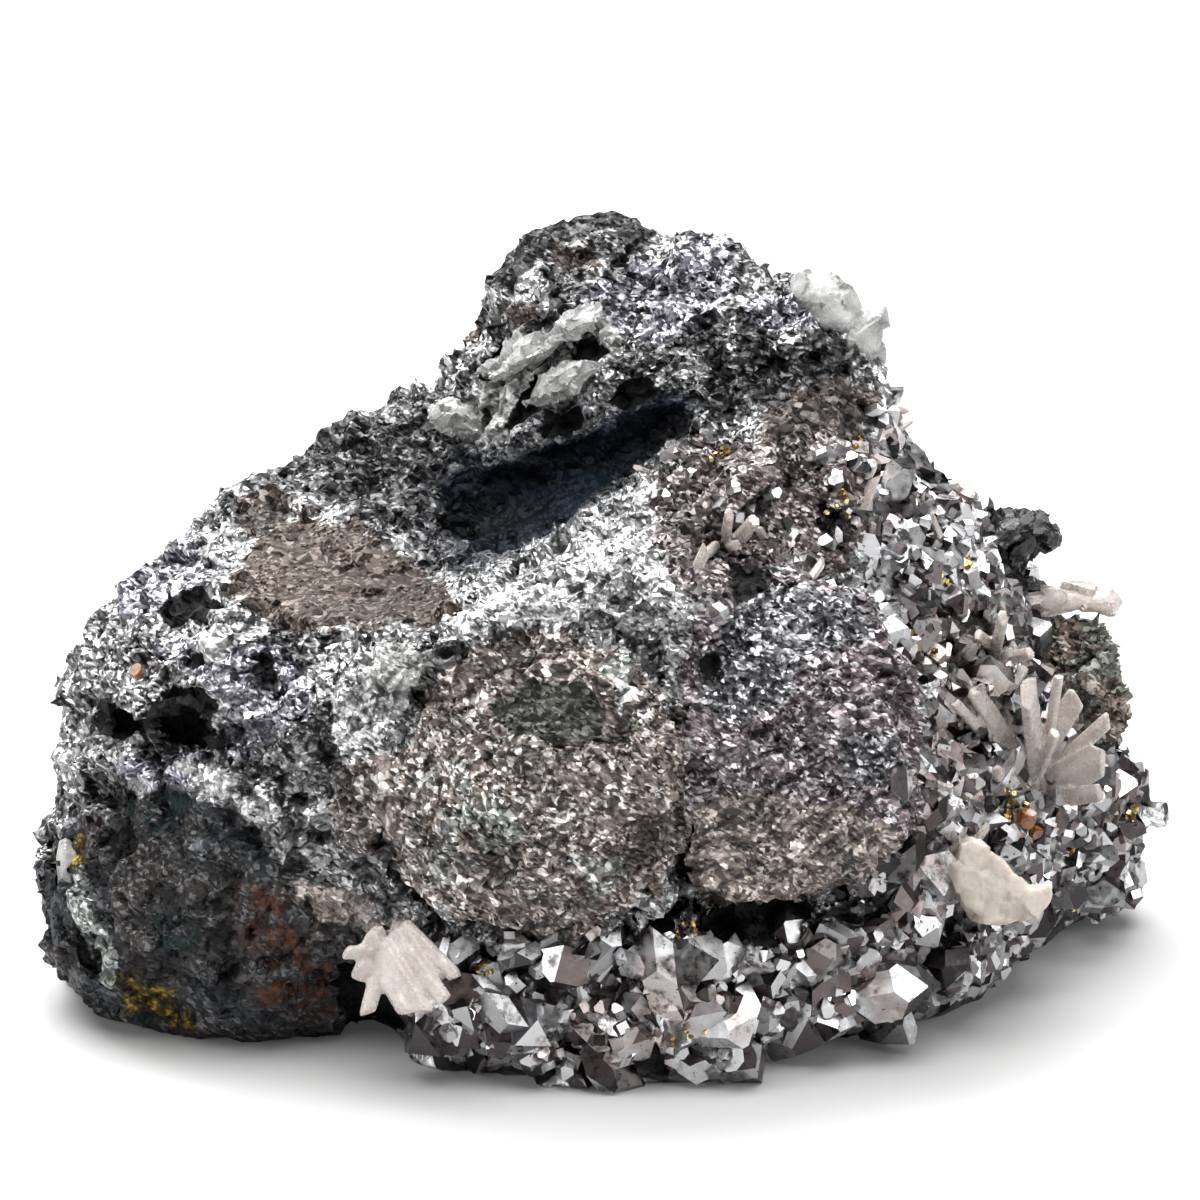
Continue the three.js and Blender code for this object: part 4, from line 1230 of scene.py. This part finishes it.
spray = crystal_fan("quartz_spray_blades", [
    ((58, -6, 26), (55.5, -15.5, 45), 6.6, 2.6), ((58.5, -6, 27), (60, -12.5, 44.5), 2.4, 1.7),
    ((57, -6, 27), (48, -18, 44.5), 3.6, 1.8), ((55, -8, 27), (41.5, -23, 38.5), 3.8, 2.0),
    ((57, -5, 28), (63.5, -8.5, 41), 4.0, 1.6), ((58, -5, 26), (67.5, -10, 37.5), 2.8, 1.6),
    ((58, -6, 25), (68, -12, 33.5), 6.0, 2.0), ((58, -6, 24), (66.5, -15, 28.5), 3.2, 1.5),
    ((57, -8, 25), (51, -22, 34), 2.6, 1.6), ((56, -8, 28), (45.5, -20, 43), 2.0, 1.5),
    ((57, -7, 26), (59.5, -17, 38), 2.6, 1.6), ((44, -17, 38.5), (42, -23, 44.5), 3.4, 3.0),
], 0.00026, "quartz_spray")
fingers = crystal_fan("quartz_finger_fan", [
    ((-27, -47, 20), (-29.8, -53, 10.8), 3.0, 2.6), ((-27, -48, 19), (-33.3, -50.4, 19.4), 2.3, 1.9),
    ((-28, -47, 19.5), (-31.4, -51.5, 15.6), 2.8, 2.4), ((-27.5, -48, 19.5), (-21.4, -54.6, 11.8), 3.4, 2.8),
    ((-26, -47, 21), (-18.8, -54.2, 13.2), 3.2, 2.6), ((-28.5, -48, 18), (-23.8, -54.4, 11.6), 3.0, 2.6),
    ((-25, -46, 21.5), (-17.2, -52.8, 16.2), 2.8, 2.2), ((-25.5, -42, 18), (-24.5, -49.5, 17.5), 7.0, 4.0),
    ((-22, -42, 16), (-20.5, -50.5, 14), 6.0, 3.4), ((-28, -46, 20), (-29.6, -50.8, 20.6), 3.6, 2.6),
], 0.00028, "quartz_fingers", softness=9)
upper_prisms = crystal_fan("quartz_upper_blades", [
    ((52, -2, 42.5), (52.4, -15, 53), 2.8, 1.8), ((52, -2, 44), (49, -14, 50), 2.0, 1.4),
    ((53, -1, 42), (56.5, -13, 47), 2.2, 1.5), ((52, -2, 42), (53.5, -14, 47.5), 1.6, 1.2),
], 0.00026, "quartz_upper_prisms")
vug_prisms = crystal_fan("quartz_vug_blades", [
    ((16, -18, 63), (16.5, -28, 71), 2.4, 1.6), ((17, -18, 63), (20, -27.5, 70), 2.6, 1.7),
    ((16, -18, 64), (13, -28.5, 65), 2.0, 1.4), ((16, -18, 63), (17.5, -28, 66.5), 1.8, 1.3),
], 0.00026, "quartz_vug_prisms")
for fan in (spray, fingers, upper_prisms, vug_prisms):
    dress(fan, cream_quartz, "quartz")


def rough_lump(name, node, voxel, layers, sink=0.0):
    """A grown-in mass: the CAD solid's form with its own broken skin."""
    lump = bare_copy(name, node)
    remesh(lump, voxel)
    write_share(lump.data, "rugged", np.ones(len(lump.data.vertices)))
    break_faces(lump, layers, sink, swirl_size=0.004)
    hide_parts(node)
    return lump


# The streaks of the band are broken more deeply than the single masses
band_break = ([(0.0044, 0.3, 0.0011), (0.002, 0.25, 0.0004)], 0.0007)
mass_break = ([(0.005, 0.22, 0.0008)], 0.0002)
for node_name, material, (layers, sink) in (
    ("quartz_band_upper", grey_quartz, band_break), ("quartz_band_lower", grey_quartz, band_break),
    ("quartz_band_left", grey_quartz, band_break), ("quartz_cap", grey_quartz, mass_break),
    ("quartz_ledge", cream_quartz, mass_break), ("quartz_strip", grey_quartz, mass_break),
):
    mass = rough_lump(f"{node_name}_mass", node_name, 0.0003, layers, sink)
    dress(mass, material, "quartz")

# Quartz needles
# Small quartz prisms that stand between the metal crystals, a few millimetres long.


def needle_shape(name, slimness):
    """A thin six-sided prism with one slanting end."""
    bpy.ops.object.select_all(action="DESELECT")
    bpy.ops.mesh.primitive_cone_add(vertices=6, radius1=0.5, radius2=0.4, depth=2.2)
    needle = bpy.context.object
    needle.name = name
    bpy.ops.object.mode_set(mode="EDIT")
    cut_off((0, 0, 0.85), (0.8, 0.1, 1))
    bpy.ops.object.mode_set(mode="OBJECT")
    needle.scale = (slimness, slimness * 0.7, 1)
    bpy.ops.object.transform_apply(location=True, rotation=True, scale=True)
    return needle


needle_share = np.clip(crust * (1 - low) + 0.5 * upper, 0, 1)
write_share(ore.data, "needles", 0.3 * needle_share)
needles = scatter(
    "quartz_needles", ore, [needle_shape("slim_needle", 0.5), needle_shape("stout_needle", 0.8)],
    "needles", 0.0034, (0.0011, 0.0024), 44, -0.3, 0.9,
)
dress(needles, cream_quartz, "quartz")

# Calcite blade
# A rounded cream blade of calcite with a pointed tail, grown on the foot of the right flank.
BLADE_OUTLINE = [
    (958, 844), (974, 838), (990, 852), (1006, 861), (1020, 876), (1030, 890), (1052, 886), (1048, 900),
    (1032, 916), (1006, 926), (980, 921), (962, 906), (955, 880),
]
BLADE_FRONT = -33.5 * MM
BLADE_DEPTH = 6 * MM


def in_picture(column, row, depth):
    """The place that shows at this pixel of the picture, on the upright plane at this depth."""
    direction = sight(column, row)
    return eye + direction * ((depth - eye.y) / direction.y)


blade_mesh = bpy.data.meshes.new("calcite_rounded_blade")
corners = [in_picture(*corner, BLADE_FRONT) for corner in BLADE_OUTLINE]
blade_mesh.from_pydata(corners, [], [tuple(reversed(range(len(corners))))])
calcite_blade = bpy.data.objects.new("calcite_rounded_blade", blade_mesh)
bpy.context.scene.collection.objects.link(calcite_blade)
make_active(calcite_blade)
bpy.ops.object.mode_set(mode="EDIT")
bpy.ops.mesh.select_all(action="SELECT")
bpy.ops.mesh.extrude_region_move(TRANSFORM_OT_translate={"value": ahead * BLADE_DEPTH})
bpy.ops.mesh.select_all(action="SELECT")
bpy.ops.mesh.normals_make_consistent(inside=False)
bpy.ops.object.mode_set(mode="OBJECT")
remesh(calcite_blade, 0.0003)
modifier = calcite_blade.modifiers.new("soft_edges", "SMOOTH")
modifier.iterations = 36
bpy.ops.object.modifier_apply(modifier=modifier.name)
write_share(calcite_blade.data, "rugged", np.ones(len(calcite_blade.data.vertices)))
break_faces(calcite_blade, [(0.0055, 0.16, 0.0002), (0.0025, 0.1, 0.0001)], 0.0, swirl_size=0.002)
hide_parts("calcite_blade")
calcite, tree, shader = new_material("cream_calcite")
body = mix_colour(tree, cloud_mask(tree, 300.0, 0.35, 0.65), (0.52, 0.46, 0.39), (0.64, 0.59, 0.52))
body = mix_colour(tree, cloud_mask(tree, 900.0, 0.66, 0.74), body, (0.48, 0.4, 0.31))
fill(tree, shader, {
    "Base Color": body, "Roughness": 0.4, "Subsurface Weight": 0.2, "Subsurface Scale": 0.002,
    "Normal": fine_bump(tree, 900.0, 0.0004, 0.4),
})
dress(calcite_blade, calcite, "calcite", smooth=True)

# Sphalerite lump
# A lump of black zinc ore with glossy broken faces, on the right of the outline.
sphalerite_lump = rough_lump("sphalerite_black_lump", "sphalerite_lump", 0.00034,
                             [(0.0052, 0.4, 0.0016), (0.0026, 0.4, 0.0009)], 0.0002)
sphalerite, tree, shader = new_material("black_sphalerite")
body = ramp(tree, noise(tree, 700.0), [
    (0.35, (0.006, 0.006, 0.007)), (0.6, (0.03, 0.03, 0.032)), (0.75, (0.12, 0.12, 0.125)),
])
fill(tree, shader, {
    "Base Color": body, "Roughness": mix_number(tree, cloud_mask(tree, 600.0, 0.4, 0.6), 0.16, 0.5),
    "Normal": fine_bump(tree, 1500.0, 0.0003, 0.5),
})
dress(sphalerite_lump, sphalerite, "sphalerite")

# Wall rock
# What is left of the altered rock that the ore grew on: green-grey, knobbly, with brown stains.
rock = rough_lump("wall_rock_knobs", "wall_rock", 0.00036,
                  [(0.0038, 0.35, 0.0016), (0.0019, 0.45, 0.001), (0.0009, 0.45, 0.0005)], 0.0002)
chlorite, tree, shader = new_material("chlorite_rock")
grain = filled(tree, grain_group, {"Size": 0.0007, "Tilt": 0.8, "Swirl": 3.0})
green = tones(tree, grain["Tone"], [
    (0.03, 0.034, 0.027), (0.085, 0.093, 0.075), (0.17, 0.18, 0.15), (0.4, 0.42, 0.37),
])
brown = tones(tree, grain["Tone"], [
    (0.04, 0.03, 0.024), (0.12, 0.09, 0.07), (0.24, 0.19, 0.155), (0.5, 0.45, 0.4),
])
body = mix_colour(tree, cloud_mask(tree, 230.0, 0.46, 0.56), green, brown)
body = mix_colour(tree, cloud_mask(tree, 420.0, 0.6, 0.68), body, (0.02, 0.022, 0.02))
fill(tree, shader, {
    "Base Color": body, "Roughness": mix_number(tree, cloud_mask(tree, 500.0, 0.4, 0.6), 0.4, 0.75),
    "Normal": fine_bump(tree, 1500.0, 0.0003, 0.5, Normal=grain["Normal"]),
})
dress(rock, chlorite, "wall_rock")
